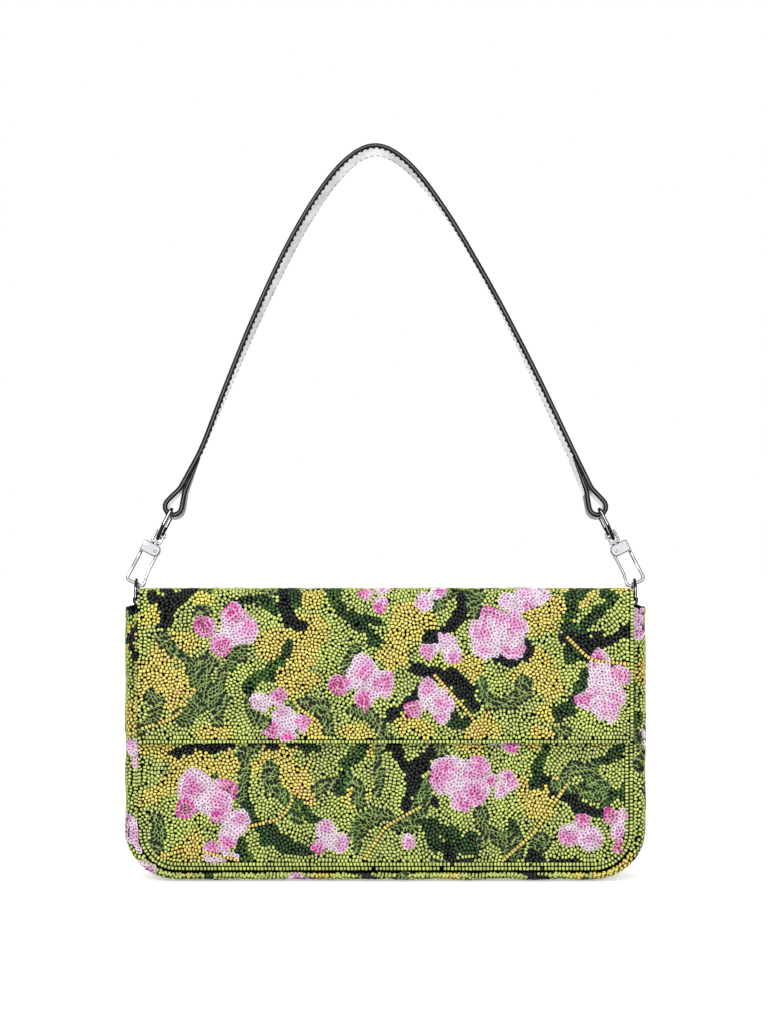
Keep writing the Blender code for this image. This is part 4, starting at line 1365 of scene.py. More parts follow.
@dataclass
class Body:
    """The standing part: beaded front, back and gusset over boards, with its lining."""

    half: float = 131.0
    bottom: float = 6.5
    top: float = 153.3
    corner: float = 21.0
    half_depth: float = 25.0
    seam: float = 22.1
    proud: float = 0.98
    puff: float = 0.9
    gusset_top: float = 145.5
    side_bulge: float = 8.5
    base_bulge: float = 5.9
    flap_edge: float = 74.0
    # The front's cloth ends under the mouth's binding, and no bead is sewn where that lies.
    front_top: float = 151.8
    binding: float = 147.4
    strip_half: float = 128.5
    strip_front: float = 7.8
    binding_half: float = 128.4
    pouch_half: float = 128.6
    pouch_corner: float = 18.9
    pouch_depth: float = 20.4
    pocket_half: float = 65.0

    def half_width(self, z: Array) -> Array:
        """Half the panel's width at a height, rounded at the bottom."""
        low = np.clip(self.bottom + self.corner - z, 0, self.corner)
        return self.half - self.corner + np.sqrt(np.maximum(self.corner ** 2 - low ** 2, 0))

    def edge(self, s: Array, t: Array) -> Array:
        """How far inside the panel's outline places are.

        Args:
            s: places across.
            t: places along.

        Returns:
            Millimetres.
        """
        right = np.abs(s) - (self.half - self.corner)
        down = self.bottom + self.corner - t
        round_off = self.corner - np.hypot(np.maximum(right, 0), np.maximum(down, 0))
        straight = np.minimum(self.half - np.abs(s), t - self.bottom)
        inside = np.where((right > 0) & (down > 0), round_off, straight)
        return np.minimum(inside, self.top - t)

    def front_edge(self, s: Array, t: Array) -> Array:
        """The same for the front, which has a bare round about the magnet."""
        return np.minimum(self.edge(s, t), np.hypot(s, t - MAGNET_HEIGHT) - MAGNET_ROOM)

    def skin(self, s: Array, t: Array) -> Array:
        """How far the cloth stands out from the middle plane: soft below, flat under the flap.

        Args:
            s: places across.
            t: places along.

        Returns:
            Millimetres.
        """
        rise = np.clip((self.flap_edge - t) / (self.flap_edge - self.bottom), 0, 1)
        puff = self.puff * np.sin(math.pi * rise) * (1 - (s / self.half) ** 4)
        roll = np.clip(1 - self.edge(s, t) / 3.0, 0, 1) ** 2 * 0.7
        return self.half_depth - self.proud + puff - roll

    def front(self, s: Array, t: Array) -> Array:
        """The front cloth's place in space."""
        return np.stack([s, -self.skin(s, t), t], -1)

    def back(self, s: Array, t: Array) -> Array:
        """The back cloth's place in space, s running from the bag's right to its left."""
        hollow = 0.6 * np.sin(math.pi * np.clip((t - self.bottom) / 146, 0, 1))
        return np.stack([-s, self.skin(-s, t) + hollow, t], -1)

    def panel_sheet(self, surface: Field, top: float) -> Part:
        """The cloth of the front or back as a closed sheet.

        Args:
            surface: its outer face.
            top: how high it reaches.

        Returns:
            Its points and faces.
        """
        z = np.concatenate([self.bottom + self.corner * (1 - np.cos(np.linspace(
            0.05, math.pi / 2, 12))), np.linspace(self.bottom + self.corner, top, 50)[1:]])
        share = np.sin(np.linspace(-math.pi / 2, math.pi / 2, 70) * 0.97) / math.sin(
            0.97 * math.pi / 2)
        t = np.repeat(z[:, None], len(share), 1)
        return slab(surface(self.half_width(t) * share[None], t), 1.5)

    def make_panels(self) -> None:
        """The beaded front and back."""
        motifs = (petals(-96, 46, 14, 3, 4) + petals(40, 54, 14, 8, 5) + petals(104, 26, 10, 6, 3)
                  + petals(-30, 24, 9, 12, 3) + petals(12, 22, 7, 14, 1)
                  + blotch(Patch.PEACH, -52, 54, 13, 4) + blotch(Patch.PEACH, 78, 48, 13, 9)
                  + streak(Patch.DARK, -66, 20, 19, 5) + streak(Patch.BLACK, 12, 56, 17, 7)
                  + streak(Patch.FERN, 64, 20, 18, 1) + streak(Patch.DARK, 114, 56, 16, 2)
                  + streak(Patch.FERN, -112, 20, 15, 17) + streak(Patch.FERN, -10, 44, 15, 18))
        low, high = (-self.half, self.bottom), (self.half, self.top)
        motifs = scatter((-126, 10), (126, 150), 21, 12.5, motifs)
        plan = BeadPlan(low, high, self.front_edge, motifs, 2, 31, (
            stem((-126, 12), (-104, 18), (-78, 12)), stem((-72, 30), (-54, 34), (-40, 64)),
            stem((60, 10), (78, 26), (96, 52)), stem((-14, 8), (0, 30), (18, 40))), self.corner)
        cover("front", self.panel_sheet(self.front, self.front_top), plan, self.front,
              {"front_lower": self.flap_edge + 6, "front_upper": self.binding}, "bag",
              ["front_panel"])
        motifs = petals(-64, 100, 19, 31, 5) + petals(50, 62, 19, 34, 5) + petals(98, 122, 15, 36)
        motifs = scatter((-126, 10), (126, 150), 5, 12.5, motifs)
        plan = BeadPlan(low, high, self.edge, motifs, 2, 47, (
            stem((-120, 20), (-80, 50), (-66, 80)), stem((20, 10), (40, 30), (48, 50)),
            stem((60, 84), (88, 96), (96, 110))), self.corner)
        cover("back", self.panel_sheet(self.back, self.top), plan, self.back,
              {"back_lower": self.flap_edge + 6, "back_upper": math.inf}, "bag", ["back_panel"])

    def gusset_path(self) -> tuple[Array, Array, Array]:
        """The seam line that the gusset follows, dense and even.

        Returns:
            Its points in X and Z, the outward way and the bulge at each.
        """
        line = even_line(rounded(((-self.half, self.gusset_top), (-self.half, self.bottom),
                                  (self.half, self.bottom), (self.half, self.gusset_top)),
                                 (0, self.corner, self.corner, 0), 16, closed=False), 2.0)
        ahead = np.gradient(line, axis=0)
        way = unit(np.stack([ahead[:, 1], -ahead[:, 0]], -1))
        # The way is evened out over seven points, so that the corners turn softly.
        kernel = np.hanning(7) / np.hanning(7).sum()
        padded = np.pad(way, ((3, 3), (0, 0)), mode="edge")
        way = unit(np.stack([np.convolve(padded[:, k], kernel, "valid") for k in (0, 1)], -1))
        bulge = self.side_bulge * way[:, 0] ** 2 + self.base_bulge * way[:, 1] ** 2
        near_top = np.clip(1 - (self.gusset_top - line[:, 1]) / 30, 0, 1)
        return line, way, bulge * (1 - 0.06 * near_top)

    def make_gusset(self) -> None:
        """The beaded strip round the sides and base, soft between its seams."""
        line, way, bulge = self.gusset_path()
        steps = walked(line)
        shares, walks = np.linspace(-1, 1, 401), []
        for power, rise in ((3.6, self.side_bulge - 1), (8.0, self.base_bulge)):
            section = np.maximum(1 - np.abs(shares) ** power, 0) ** (1 / power)
            walk = np.cumsum(np.hypot(np.diff(shares, prepend=-1) * self.seam,
                                      np.diff(section, prepend=0) * rise))
            walks.append(walk - walk[-1] / 2)
        reach = float(walks[0][-1])
        walks[1] *= reach / walks[1][-1]

        def surface(s: Array, t: Array) -> Array:
            """The gusset's cloth in space.

            Args:
                s: places across.
                t: places along.

            Returns:
                X, Y and Z.
            """
            x, z, wx, wz, rise = (np.interp(t, steps, row) for row in (*line.T, *way.T, bulge))
            # The base stands flat on its board, and the sides are rounder.
            a = (1 - wz ** 2) * np.interp(s, walks[0], shares) + wz ** 2 * np.interp(
                s, walks[1], shares)
            power = 3.6 + 4.4 * wz ** 2
            out = np.maximum(1 - np.abs(a) ** power, 0) ** (1 / power)
            rise = rise * out - self.proud + 0.25 * waves(s, t, 15.0, 77) * out
            return np.stack([x + wx * rise, a * self.seam, z + wz * rise], -1)

        def edge(s: Array, t: Array) -> Array:
            """How far inside the strip a place is."""
            return np.minimum(reach + 0.5 - np.abs(s), np.minimum(t, steps[-1] - t)) + 0 * s

        motifs = scatter((-reach, 0), (reach, steps[-1]), 63, 18.0)
        plan = BeadPlan((-reach, 0.0), (reach, float(steps[-1])), edge, motifs, 0, 64)
        s = np.interp(np.linspace(-1, 1, 25), [-1, -0.9, 0.9, 1], [-1, -0.93, 0.93, 1]) * reach
        t, s = np.meshgrid(np.linspace(0, steps[-1], 260), s, indexing="ij")
        cover("gusset", slab(surface(s, t), 1.2), plan, surface,
              {"gusset_left": steps[-1] / 2, "gusset_right": math.inf}, "bag", ["gusset"])

    def make_top_strip(self) -> None:
        """The beaded strip behind the flap."""
        half, front, rear = self.strip_half, self.strip_front, self.half_depth

        def surface(s: Array, t: Array) -> Array:
            """The strip's cloth, which falls towards the back and rolls over its edge."""
            fall = np.clip((t - 22.6) / 2.4, 0, 1) ** 2 * 0.5
            return np.stack([s, t, 154.9 - TOP_SLOPE * (t - SLOPE_START) - fall + 0 * s], -1)

        def edge(s: Array, t: Array) -> Array:
            """How far inside the strip a place is."""
            return np.minimum(half - np.abs(s), np.minimum(t - front, rear - t))

        motifs = scatter((-128, 8), (128, 25), 81, 18.0)
        plan = BeadPlan((-half, front), (half, rear), edge, motifs, 0, 82)
        s, t = np.meshgrid(np.linspace(-half, half, 90), np.linspace(front, rear, 16))
        cover("top_strip", slab(surface(s, t), 1.1), plan, surface, {"top_strip": math.inf},
              "bag", ["top_strip"])

    def make_mouth(self) -> None:
        """The bound edge of the mouth, front and back."""
        across = np.linspace(-self.binding_half, self.binding_half, 120)
        for word, side in (("front", -1.0), ("back", 1.0)):
            outer, inner, top = 24.9 * side, 20.75 * side, 152.25 - 0.2 * side
            profile = rounded(((outer, 148.4), (outer, top), (inner, top), (inner, 147.6)),
                              (0, 1.2, 1.2, 0), 5, closed=False)
            if side > 0:
                profile = profile[1:]
            (x, y), (_, z) = (np.meshgrid(across, row, indexing="ij") for row in profile.T)
            grid = np.stack([x, y, z], -1)
            new_piece(f"mouth_binding_{word}", slab(grid if side > 0 else grid[::-1], 0.5),
                      [LEATHER], "bag")

    def make_lining(self) -> None:
        """The loose cloth pouch and its slip pocket."""
        heights = np.concatenate([np.linspace(150, 30, 44), 8.9 + 18.6 * (1 - np.sin(np.linspace(
            0.1, math.pi / 2, 8)))])
        corner, deep, around, rows = self.pouch_corner, self.pouch_depth, 180, []
        for z in heights:
            low = max(27.5 - z, 0.0)
            wide = self.pouch_half - corner + math.sqrt(max(corner ** 2 - low ** 2, 0))
            ring = rounded(((wide, -deep), (wide, deep), (-wide, deep), (-wide, -deep)),
                           [5.0] * 4)
            ring = even_line(np.vstack([ring, ring[:1]]), 1.0)
            pick = np.linspace(0, len(ring) - 1, around + 1)[:-1]
            rows.append(np.column_stack([np.interp(pick, np.arange(len(ring)), row)
                                         for row in ring.T] + [np.full(around, z)]))
        grid = np.array(rows + [rows[-1] * (share, share, 1.0) for share in (0.85, 0.6, 0.3, 0.02)])
        x, y, z = np.moveaxis(grid, -1, 0)
        depth = np.clip((150 - z) / 30, 0, 1) * np.clip((z - 9) / 20, 0, 1)
        sag = (0.75 + 0.6 * waves(x, z * 0.5, 26.0, 90)) * depth
        y -= np.sign(y) * np.clip(sag, 0.0, 1.9)
        new_piece("lining_pouch", slab(grid[::-1], 0.7, wrap=True), [LINING], "bag", ["lining"])
        half, low, high = self.pocket_half, 48, 126
        s, t = np.meshgrid(np.linspace(-half, half, 70), np.linspace(low, high, 42))
        full = np.sin(math.pi * (s + half) / (2 * half))
        belly = full * np.clip((t - low) / (high - low), 0, 1) ** 1.5
        cloth = np.stack([s, 17.4 - 0.9 * belly - 0.2 * waves(s, t, 20.0, 12), t], -1)
        hem = sweep(np.stack([s[-1], 17.3 - 0.9 * belly[-1], t[-1] - 0.6], -1), Y_WAY,
                    circle(0.7, 8))
        new_piece("slip_pocket", join([slab(cloth, 0.8), hem]), [LINING], "bag", ["inner_pocket"])
        x = np.linspace(-64, 64, 80)
        row = np.stack([x, 16.35 - 0.9 * np.sin(math.pi * (x + half) / (2 * half)) * 0.93,
                        np.full(80, 122.0)], -1)
        new_piece("pocket_stitches", stitches(row, np.tile(-Y_WAY, (80, 1)), 3.0, 2.2, 0.4),
                  [THREAD], "bag")


@dataclass
class Flap:
    """The flap: beaded cloth that runs from its rear fold over the top and down the front."""

    half: float = 131.0
    rear: float = 7.5
    face: float = -28.9
    # The cloth and its lining lie snug on the body, 1 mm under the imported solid's top.
    top: float = 155.9
    bottom: float = 74.0
    fold: float = 4.6
    proud: float = 1.02
    corner: float = 3.0
    lining_half: float = 128.5
    lining_inset: float = 3.3
    hinge_half: float = 128.0

    def __post_init__(self) -> None:
        """Work out the lengths along the flap's flat cloth."""
        self.run = self.rear - self.face - self.fold
        self.arc = self.fold * math.pi / 2
        self.length = self.run + self.arc + self.top - self.fold - self.bottom

    def line(self, t: Array, inset: float) -> tuple[Array, Array]:
        """The flap's profile.

        Args:
            t: lengths from the rear fold, in mm.
            inset: how far in from the outer face.

        Returns:
            Y and Z.
        """
        turn = np.clip((t - self.run) / self.fold, 0, math.pi / 2)
        radius = self.fold - inset
        y = self.rear - np.minimum(t, self.run) - radius * np.sin(turn)
        fall = np.maximum(t - self.run - self.arc, 0)
        z = self.top - self.fold + radius * np.cos(turn) - fall
        return y, z - TOP_SLOPE * np.maximum(y - SLOPE_START, 0)

    def dish(self, s: Array, walk: Array) -> Array:
        """How far the top sinks at a place."""
        return 0.5 * np.sin(math.pi * np.clip(walk / self.run, 0, 1)) * (1 - (s / self.half) ** 6)

    def surface(self, s: Array, t: Array) -> Array:
        """The outer cloth in space, slightly full below and dished on top.

        Args:
            s: places across.
            t: places up from the lower edge.

        Returns:
            X, Y and Z.
        """
        walk = self.length - t
        y, z = self.line(walk, self.proud)
        hang = np.clip((walk - self.run - self.arc) / 60, 0, 1)
        swell = 0.55 * np.sin(math.pi * hang) * (1 - (s / self.half) ** 4)
        swell = swell + 0.18 * waves(s, t, 45.0, 3) * hang
        roll = np.clip(1 - self.edge(s, t) / 2.2, 0, 1) ** 2 * 0.6
        down = np.clip((walk - self.run) / self.arc, 0, 1)
        return np.stack([s + 0 * t, y - swell + roll * down,
                         z - self.dish(s, walk) - roll * (1 - down)], -1)

    def edge(self, s: Array, t: Array) -> Array:
        """How far inside the flap's outline a place is."""
        return np.minimum(self.half - np.abs(s), np.minimum(t, self.length - t + 1.2))

    def blend(self, piece: bpy.types.Object) -> None:
        """Bake a piece's place into its mesh."""
        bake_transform(piece)

    def make_cloth(self) -> None:
        """The outer cloth and its beads."""
        motifs = (petals(-84, 60, 13, 41, 4) + petals(-12, 32, 13, 42, 4)
                  + petals(60, 58, 13, 43, 5) + petals(114, 22, 10, 44, 3)
                  + petals(-62, 22, 8, 39, 2) + petals(30, 14, 7, 38, 1)
                  + blotch(Patch.PEACH, -112, 30, 14, 45) + blotch(Patch.PEACH, -44, 52, 15, 46, 4)
                  + blotch(Patch.PEACH, 20, 64, 13, 47) + blotch(Patch.PEACH, 86, 34, 13, 48, 4)
                  + streak(Patch.DARK, -24, 68, 18, 50) + streak(Patch.BLACK, 36, 32, 19, 51)
                  + streak(Patch.DARK, 104, 62, 19, 52) + streak(Patch.FERN, -88, 16, 18, 53)
                  + streak(Patch.FERN, 4, 10, 18, 54) + streak(Patch.BLACK, -114, 62, 17, 55)
                  + streak(Patch.FERN, 70, 12, 17, 56) + streak(Patch.DARK, -58, 36, 15, 57))
        motifs = scatter((-128, 3), (128, self.length - 2), 11, 12.5, motifs)
        stems = (stem((-128, 8), (-110, 14), (-100, 30)), stem((52, 4), (44, 16), (26, 36)),
                 stem((128, 42), (108, 44), (96, 56)), stem((-36, 12), (-48, 20), (-52, 40)))
        plan = BeadPlan((-self.half, 0.0), (self.half, self.length), self.edge, motifs, 1, 17,
                        stems, self.corner)
        # How far up the cloth hangs straight, and where its bend ends.
        hangs, bends = self.length - self.run - self.arc, self.length - self.run
        t = np.concatenate([np.linspace(0, hangs, 34), np.linspace(hangs, bends, 9)[1:],
                            np.linspace(bends, self.length, 14)[1:]])
        s, t = np.meshgrid(np.linspace(-self.half, self.half, 110), t)
        for piece in cover("flap", slab(self.surface(s, t), 1.3), plan, self.surface,
                           {"flap_front": hangs - 4, "flap_top": math.inf}, "",
                           ["flap_top", "flap_front"]):
            self.blend(piece)

    def make_lining(self) -> None:
        """The flap's cloth lining, pressed in round the magnet."""
        s, walk = np.meshgrid(np.linspace(-self.lining_half, self.lining_half, 140),
                              np.linspace(0.0, self.length - 2.5, 74))
        y, z = self.line(walk, self.lining_inset)
        near = np.hypot(s, z - MAGNET_HEIGHT)
        dent = np.clip((MAGNET_ROOM - near) / 1.4, 0, 1) * 0.85
        y = y - dent * (walk > self.run + self.arc) + 0.12 * waves(s, walk, 30.0, 8)
        on_top = np.clip((self.run + self.arc - walk) / self.arc, 0, 1)
        grid = np.stack([s, y, z - 0.1 + 0.8 * on_top - self.dish(s, walk)], -1)
        self.blend(new_piece("flap_lining", slab(grid, 0.8), [LINING], "",
                             ["flap_top_lining", "flap_front_lining"]))

    def make_hinge(self) -> None:
        """The strip of backing cloth that joins the flap to the top strip."""
        s, y = np.meshgrid(np.linspace(-self.hinge_half, self.hinge_half, 80),
                           np.linspace(2.0, 12.5, 16))
        sheet = slab(np.stack([s, y, 153.6 + 0 * s], -1), 0.5)
        piece = new_piece("flap_hinge_cloth", sheet, [BACKING], "")
        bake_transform(piece)


@dataclass
class SideRing:
    """A chromed ring in its leather tab on one end of the bag."""

    word: str
    out: float = 135.3
    back: float = 12.0
    bar: float = 148.8
    bow: float = 6.3
    rise: float = 4.2
    wire: float = 0.95
    play: float = 0.15
    tab_width: float = 8.0
    leather: float = 0.8
    tab_length: float = 26.0

    def make(self) -> None:
        """The ring and its tab."""
        origin = np.array([SIDES[self.word] * self.out, self.back, self.bar])
        line = oblong(-self.bow, self.bow, 0, self.rise + self.bow,
                      (1.5, 1.5, self.bow, self.bow), 10)
        ring = sweep(origin + np.insert(line, 0, 0.0, 1), X_WAY, circle(self.wire), True)
        new_piece(f"side_ring_{self.word}", ring, [CHROME, CHROME_PAINTED_DARK_RIM], f"ring_{self.word}",
                  [f"d_ring_{self.word}"], painted_rim_marks(ring))
        half, thin = self.tab_width / 2, self.leather / 2
        middle, leg = self.wire + self.play + thin, self.play + thin
        loop = [(-leg, -self.tab_length), (-leg, -3.2), (-middle, -1.0)]
        loop += [(-middle * math.cos(a), middle * math.sin(a)) for a in np.linspace(0, math.pi, 13)]
        loop += [(middle, -1.0), (leg, -3.2), (leg, -self.tab_length)]
        path = origin + np.insert(even_line(np.array(loop), 0.5), 1, 0.0, 1)
        profile = rounded(((half, thin), (-half, thin), (-half, -thin), (half, -thin)),
                          [0.3] * 4, 3)
        new_piece(f"ring_tab_{self.word}", sweep(path, Y_WAY, profile[::-1]), [LEATHER], "bag",
                  [f"tab_{self.word}"])


@dataclass
class Clip:
    """A lever snap clip: slotted cap, wire hook, gate on a rivet, forked swivel and eye."""

    word: str
    origin: tuple[float, float, float] = (136.259, 12.609, 157.333)
    inboard: tuple[float, float, float] = (0.894934, -0.062099, -0.441855)
    square: tuple[float, float, float] = (0.0, 0.990268, -0.139173)
    up: tuple[float, float, float] = (0.446198, 0.124551, 0.886225)
    hook: float = 0.9
    cap: tuple[float, float, float, float] = (-6.1, 4.3, 17.5, 23.9)
    cap_half: float = 2.1
    slot_half: float = 1.25
    pivot: tuple[float, float] = (1.7, 20.3)

    def add(self, name: str, part: Part, body: str, node: str = "") -> None:
        """Place one metal piece of the clip.

        Args:
            name: the piece's name without its side.
            part: its points across (inboard), through and up the clip, and its faces.
            body: the body it rides on.
            node: the CAD node it replaces, without its side.
        """
        (points, faces), side = part, SIDES[self.word]
        across, through, up = np.array((self.inboard, self.square, self.up)) * (-side, 1.0, 1.0)
        points = (np.array(self.origin) * (side, 1.0, 1.0) + points[:, :1] * across
                  + points[:, 1:2] * through + points[:, 2:] * up)
        if side > 0:
            faces = [np.asarray(f)[:, ::-1] for f in faces]
        new_piece(f"{name}_{self.word}", (points, faces), [CHROME, CHROME_PAINTED_DARK_RIM], body,
                  [f"{node}_{self.word}"] if node else (), painted_rim_marks(part))

    @staticmethod
    def upright(outline: Array, low: float, high: float, bevel: float) -> Part:
        """A plate that stands up, so that its thickness runs through the clip."""
        points, faces = plate(outline, low, high, bevel)
        return points[:, [0, 2, 1]], [f[:, ::-1] for f in faces]

    @staticmethod
    def rod(line: Array, profile: Array) -> Part:
        """A profile run along a flat line in the clip's own plane."""
        return sweep(np.insert(line, 1, 0.0, 1), Y_WAY, profile)

    @staticmethod
    def stud(spot: tuple[float, float], radius: float, half: float, through: bool = True) -> Part:
        """A rivet with low domed heads.

        Args:
            spot: where it is, across and up.
            radius: its heads' radius.
            half: half its length.
            through: whether it goes through the clip, or across it.

        Returns:
            Its points and faces.
        """
        rise = ((0.05, half + 0.35), (0.5, half + 0.3), (0.75, half + 0.1), (1.0, half - 0.15))
        rings = rise + tuple((share, -high) for share, high in reversed(rise))
        sides = 16
        points = np.concatenate([np.column_stack([circle(radius, sides) * share,
                                                  np.full(sides, high)]) for share, high in rings])
        first = np.arange(sides)
        caps = np.stack([first, first[::-1] + (len(rings) - 1) * sides])
        return (points[:, [0, 2, 1] if through else [2, 0, 1]] + (spot[0], 0.0, spot[1]),
                [grid_faces(len(rings), sides, True, flip=not through),
                 caps if through else caps[:, ::-1]])

    def make(self) -> None:
        """All metal pieces of one clip."""
        left, right, low, high = self.cap
        half, slot = self.cap_half, self.slot_half
        cheek = oblong(left, right, low, high, (0.8, 2.6, 2.6, 0.8), 6)
        inner = oblong(left, -0.6, low, high, (0.8, 0.3, 0.3, 0.8), 4)
        crown = oblong(left, right, 21.9, high, (0.0, 0.0, 2.0, 0.8), 6)
        body = f"clip_{self.word}"
        self.add("clip_cap", join([self.upright(cheek, slot, half, 0.42),
                                   self.upright(cheek, -half, -slot, 0.42),
                                   self.upright(inner, -slot - 0.1, slot + 0.1, 0.05),
                                   self.upright(crown, -slot - 0.1, slot + 0.1, 0.05)]),
                 body, "clip_body")
        line = rounded(((-5.2, 18.0), (-5.2, 0.0), (4.3, 0.0), (4.6, 3.2)), (0, 1.7, 1.6, 0), 10,
                       False)
        band = rounded(((1.3, -self.hook), (1.3, self.hook), (-1.3, self.hook),
                        (-1.3, -self.hook)), [0.45] * 4, 3)
        self.add("clip_hook", self.rod(line, band), body)
        self.add("gate_rivet", self.stud(self.pivot, 0.95, half), body, "gate_pin")
        gate = rounded(((0.3, 21.7), (3.1, 21.7), (4.3, 18.9), (4.3, 7.8), (5.0, 3.8), (3.4, 3.8),
                        (2.7, 7.8), (2.7, 17.5), (0.3, 18.9)),
                       (1.25, 1.25, 0.0, 2.0, 0.3, 0.3, 1.5, 0.0, 1.25), 4)
        self.add("gate_lever", self.upright(gate, -1.0, 1.0, 0.42), f"gate_{self.word}", "gate")
        fork = rounded(((-3.1, 24.2), (3.1, 24.2), (3.1, 31.6), (1.9, 31.6), (1.9, 25.6),
                        (-1.9, 25.6), (-1.9, 31.6), (-3.1, 31.6)),
                       (1.1, 1.1, 0.55, 0.4, 0.6, 0.6, 0.4, 0.55), 4)
        swivel_stem = self.rod(np.array([[0.0, 22.6], [0.0, 25.0]]), circle(1.5))
        self.add("swivel_fork", join([self.upright(fork, -1.9, 1.9, 0.35), swivel_stem]), "strap",
                 "swivel")
        self.add("swivel_rivet", self.stud((0.0, 29.3), 0.75, 3.1, False), "strap", "swivel_pin")
        eye = rounded(((-2.6, 27.2), (2.6, 27.2), (7.4, 35.0), (7.4, 44.5), (-7.4, 44.5),
                       (-7.4, 35.0)), (1.3, 1.3, 3.0, 1.8, 1.8, 3.0), 8)
        self.add("strap_eye", sweep(np.insert(eye, 0, 0.0, 1), X_WAY, circle(1.1), True), "strap",
                 "eye")


@dataclass
class Strap:
    """The sewn leather strap: a double layer that loops round both eyes."""

    lean: float = math.radians(8.0)
    clip_lean: float = math.radians(26.5)
    middle_y: float = 12.0
    centre: float = 153.0
    clip_out: float = 136.2594
    clip_rise: float = 4.3754
    half_width: float = 6.0
    thick: float = 2.7
    # The twisted strap shows its front edge 2 mm above its middle, so its peak is that much lower.
    peak: tuple[float, float] = (-5.4, 248.1)
    peak_handle: float = 36.2
    leg_handle: float = 24.0
    loop_radius: float = 4.6
    loop_up: float = 46.35
    leg: float = 1.5
    split: float = 10.6
    fold_back: float = 20.0
    step: float = 2.0

    def near_clip(self, side: float, across: float, up: float) -> Array:
        """Turn a place at a clip into one in the strap's own plane.

        Args:
            side: -1 left or 1 right.
            across: how far inboard it is.
            up: how far up the clip it is.

        Returns:
            Its place across and up.
        """
        cos, sin = math.cos(self.clip_lean), math.sin(self.clip_lean)
        return np.array([side * (self.clip_out - up * sin - across * cos),
                         self.clip_rise + up * cos - across * sin])

    def end_line(self, side: float) -> Array:
        """One strap end: down the leg, round the eye and back up inside.

        Args:
            side: -1 left or 1 right.

        Returns:
            Its points.
        """
        split = self.loop_up + self.split
        first = math.atan2(self.split, -self.leg) + math.acos(
            self.loop_radius / math.hypot(self.leg, self.split))
        line = [(-self.leg, split + self.fold_back), (-self.leg, split)]
        line += [(self.loop_radius * math.cos(a), self.loop_up + self.loop_radius * math.sin(a))
                 for a in np.linspace(first, 3 * math.pi - first, 17)]
        line += [(self.leg, split), (self.leg - 1.35, split + self.fold_back)]
        return np.array([self.near_clip(side, a, u) for a, u in line])

    def arch(self, side: float) -> Array:
        """From the peak down to the top of one leg, without its last point.

        Args:
            side: -1 left or 1 right.

        Returns:
            Its points.
        """
        peak = np.array(self.peak)
        leg_top = self.loop_up + self.split + self.fold_back
        knots = (peak, peak + (side * self.peak_handle, 0.0),
                 self.near_clip(side, -self.leg, leg_top + self.leg_handle),
                 self.near_clip(side, -self.leg, leg_top))
        t = np.linspace(0, 1, 60)[:-1, None]
        s = 1 - t
        return (s ** 3 * knots[0] + 3 * s * s * t * knots[1] + 3 * s * t * t * knots[2]
                + t ** 3 * knots[3])

    def world(self, flat: Array) -> Array:
        """The strap plane's places in space, leaning back."""
        return np.stack([flat[:, 0], self.middle_y + flat[:, 1] * math.sin(self.lean),
                         self.centre + flat[:, 1] * math.cos(self.lean)], -1)

    def twist(self, flat: Array) -> Array:
        """How far the strap turns about its own length.

        Args:
            flat: places in the strap's plane.

        Returns:
            Degrees.
        """
        keys = np.array([[-140, 6], [-112, 9], [-100, 8], [-90, 0], [-75, -8], [-55, -13],
                         [-25, -13], [-4, -9], [15, -4], [30, 4], [50, 8], [68, 3], [85, -4],
                         [100, -7], [140, -7]], float)
        turn = np.interp(flat[:, 0], keys[:, 0], keys[:, 1])
        # The turned-back ends run the other way but turn with the legs they are sewn to.
        low, high = (np.argmin(np.where(side * flat[:, 0] > 0, flat[:, 1], math.inf))
                     for side in (-1, 1))
        turn[:low] *= -1
        turn[high:] *= -1
        return turn * np.clip((flat[:, 1] - 50) / 26, 0, 1)

    def profile(self, notch: float = 0.15) -> Array:
        """The strap's section: two layers with a fine seam along each edge.

        Args:
            notch: how deep the seam is.

        Returns:
            Its points.
        """
        half, thin = self.half_width, self.thick / 2
        side = rounded(((half - 1.5, -thin), (half, -thin), (half, -0.25), (half - notch, 0.0),
                        (half, 0.25), (half, thin), (half - 1.5, thin)),
                       (0, 0.6, 0.1, 0, 0.1, 0.6, 0), 4, closed=False)
        return np.vstack([side, -side])

    def marks(self, profile: Array, rings: int) -> Array:
        """Which finish each face of the strap has.

        Args:
            profile: the strap's section.
            rings: how many of them the strap has.

        Returns:
            0 outside, 1 on the painted edges and both ends, 2 inside and 3 in the seams.
        """
        middle = (profile + np.roll(profile, -1, 0)) / 2
        edge = np.abs(middle[:, 0]) > self.half_width - 0.7
        seam = edge & (np.abs(middle[:, 1]) < 0.28)
        inside = middle[:, 1] < -0.25 * self.thick
        one = np.where(seam, 3, np.where(edge, 1, np.where(inside, 2, 0)))
        marks = np.tile(one, (rings - 1, 1))
        # The right turned-back end is faced with the pale leather, like the strap above it.
        turned = marks[rings - 12:]
        turned[turned == 0] = 2
        return np.append(marks.ravel(), [1, 1])

    def make(self) -> None:
        """The strap body and its stitches."""
        left, right = (np.vstack([self.arch(side), self.end_line(side)]) for side in (-1, 1))
        flat = even_line(np.vstack([left[::-1], right[1:]]), self.step)
        path, twist = self.world(flat), np.radians(self.twist(flat))[:, None]
        ahead = unit(np.gradient(path, axis=0))
        level = np.array([0.0, math.cos(self.lean), -math.sin(self.lean)])
        across = level * np.cos(twist) + np.cross(ahead, level) * np.sin(twist)
        up = np.cross(ahead, across)
        # Both turned-back ends are skived thin.
        number = np.arange(len(path))
        skive = np.interp(np.minimum(number, number[::-1]) * self.step, [0, self.fold_back],
                          [0.15, 1.0])
        profile = self.profile()
        new_piece("strap_leather", sweep(path, across, profile, swell=skive),
                  [LEATHER, EDGE_PAINT, LINING_LEATHER, MID_GREY_SEAM_LINE], "strap",
                  ["strap_face", "strap_lining"], self.marks(profile, len(path)))
        rows = []
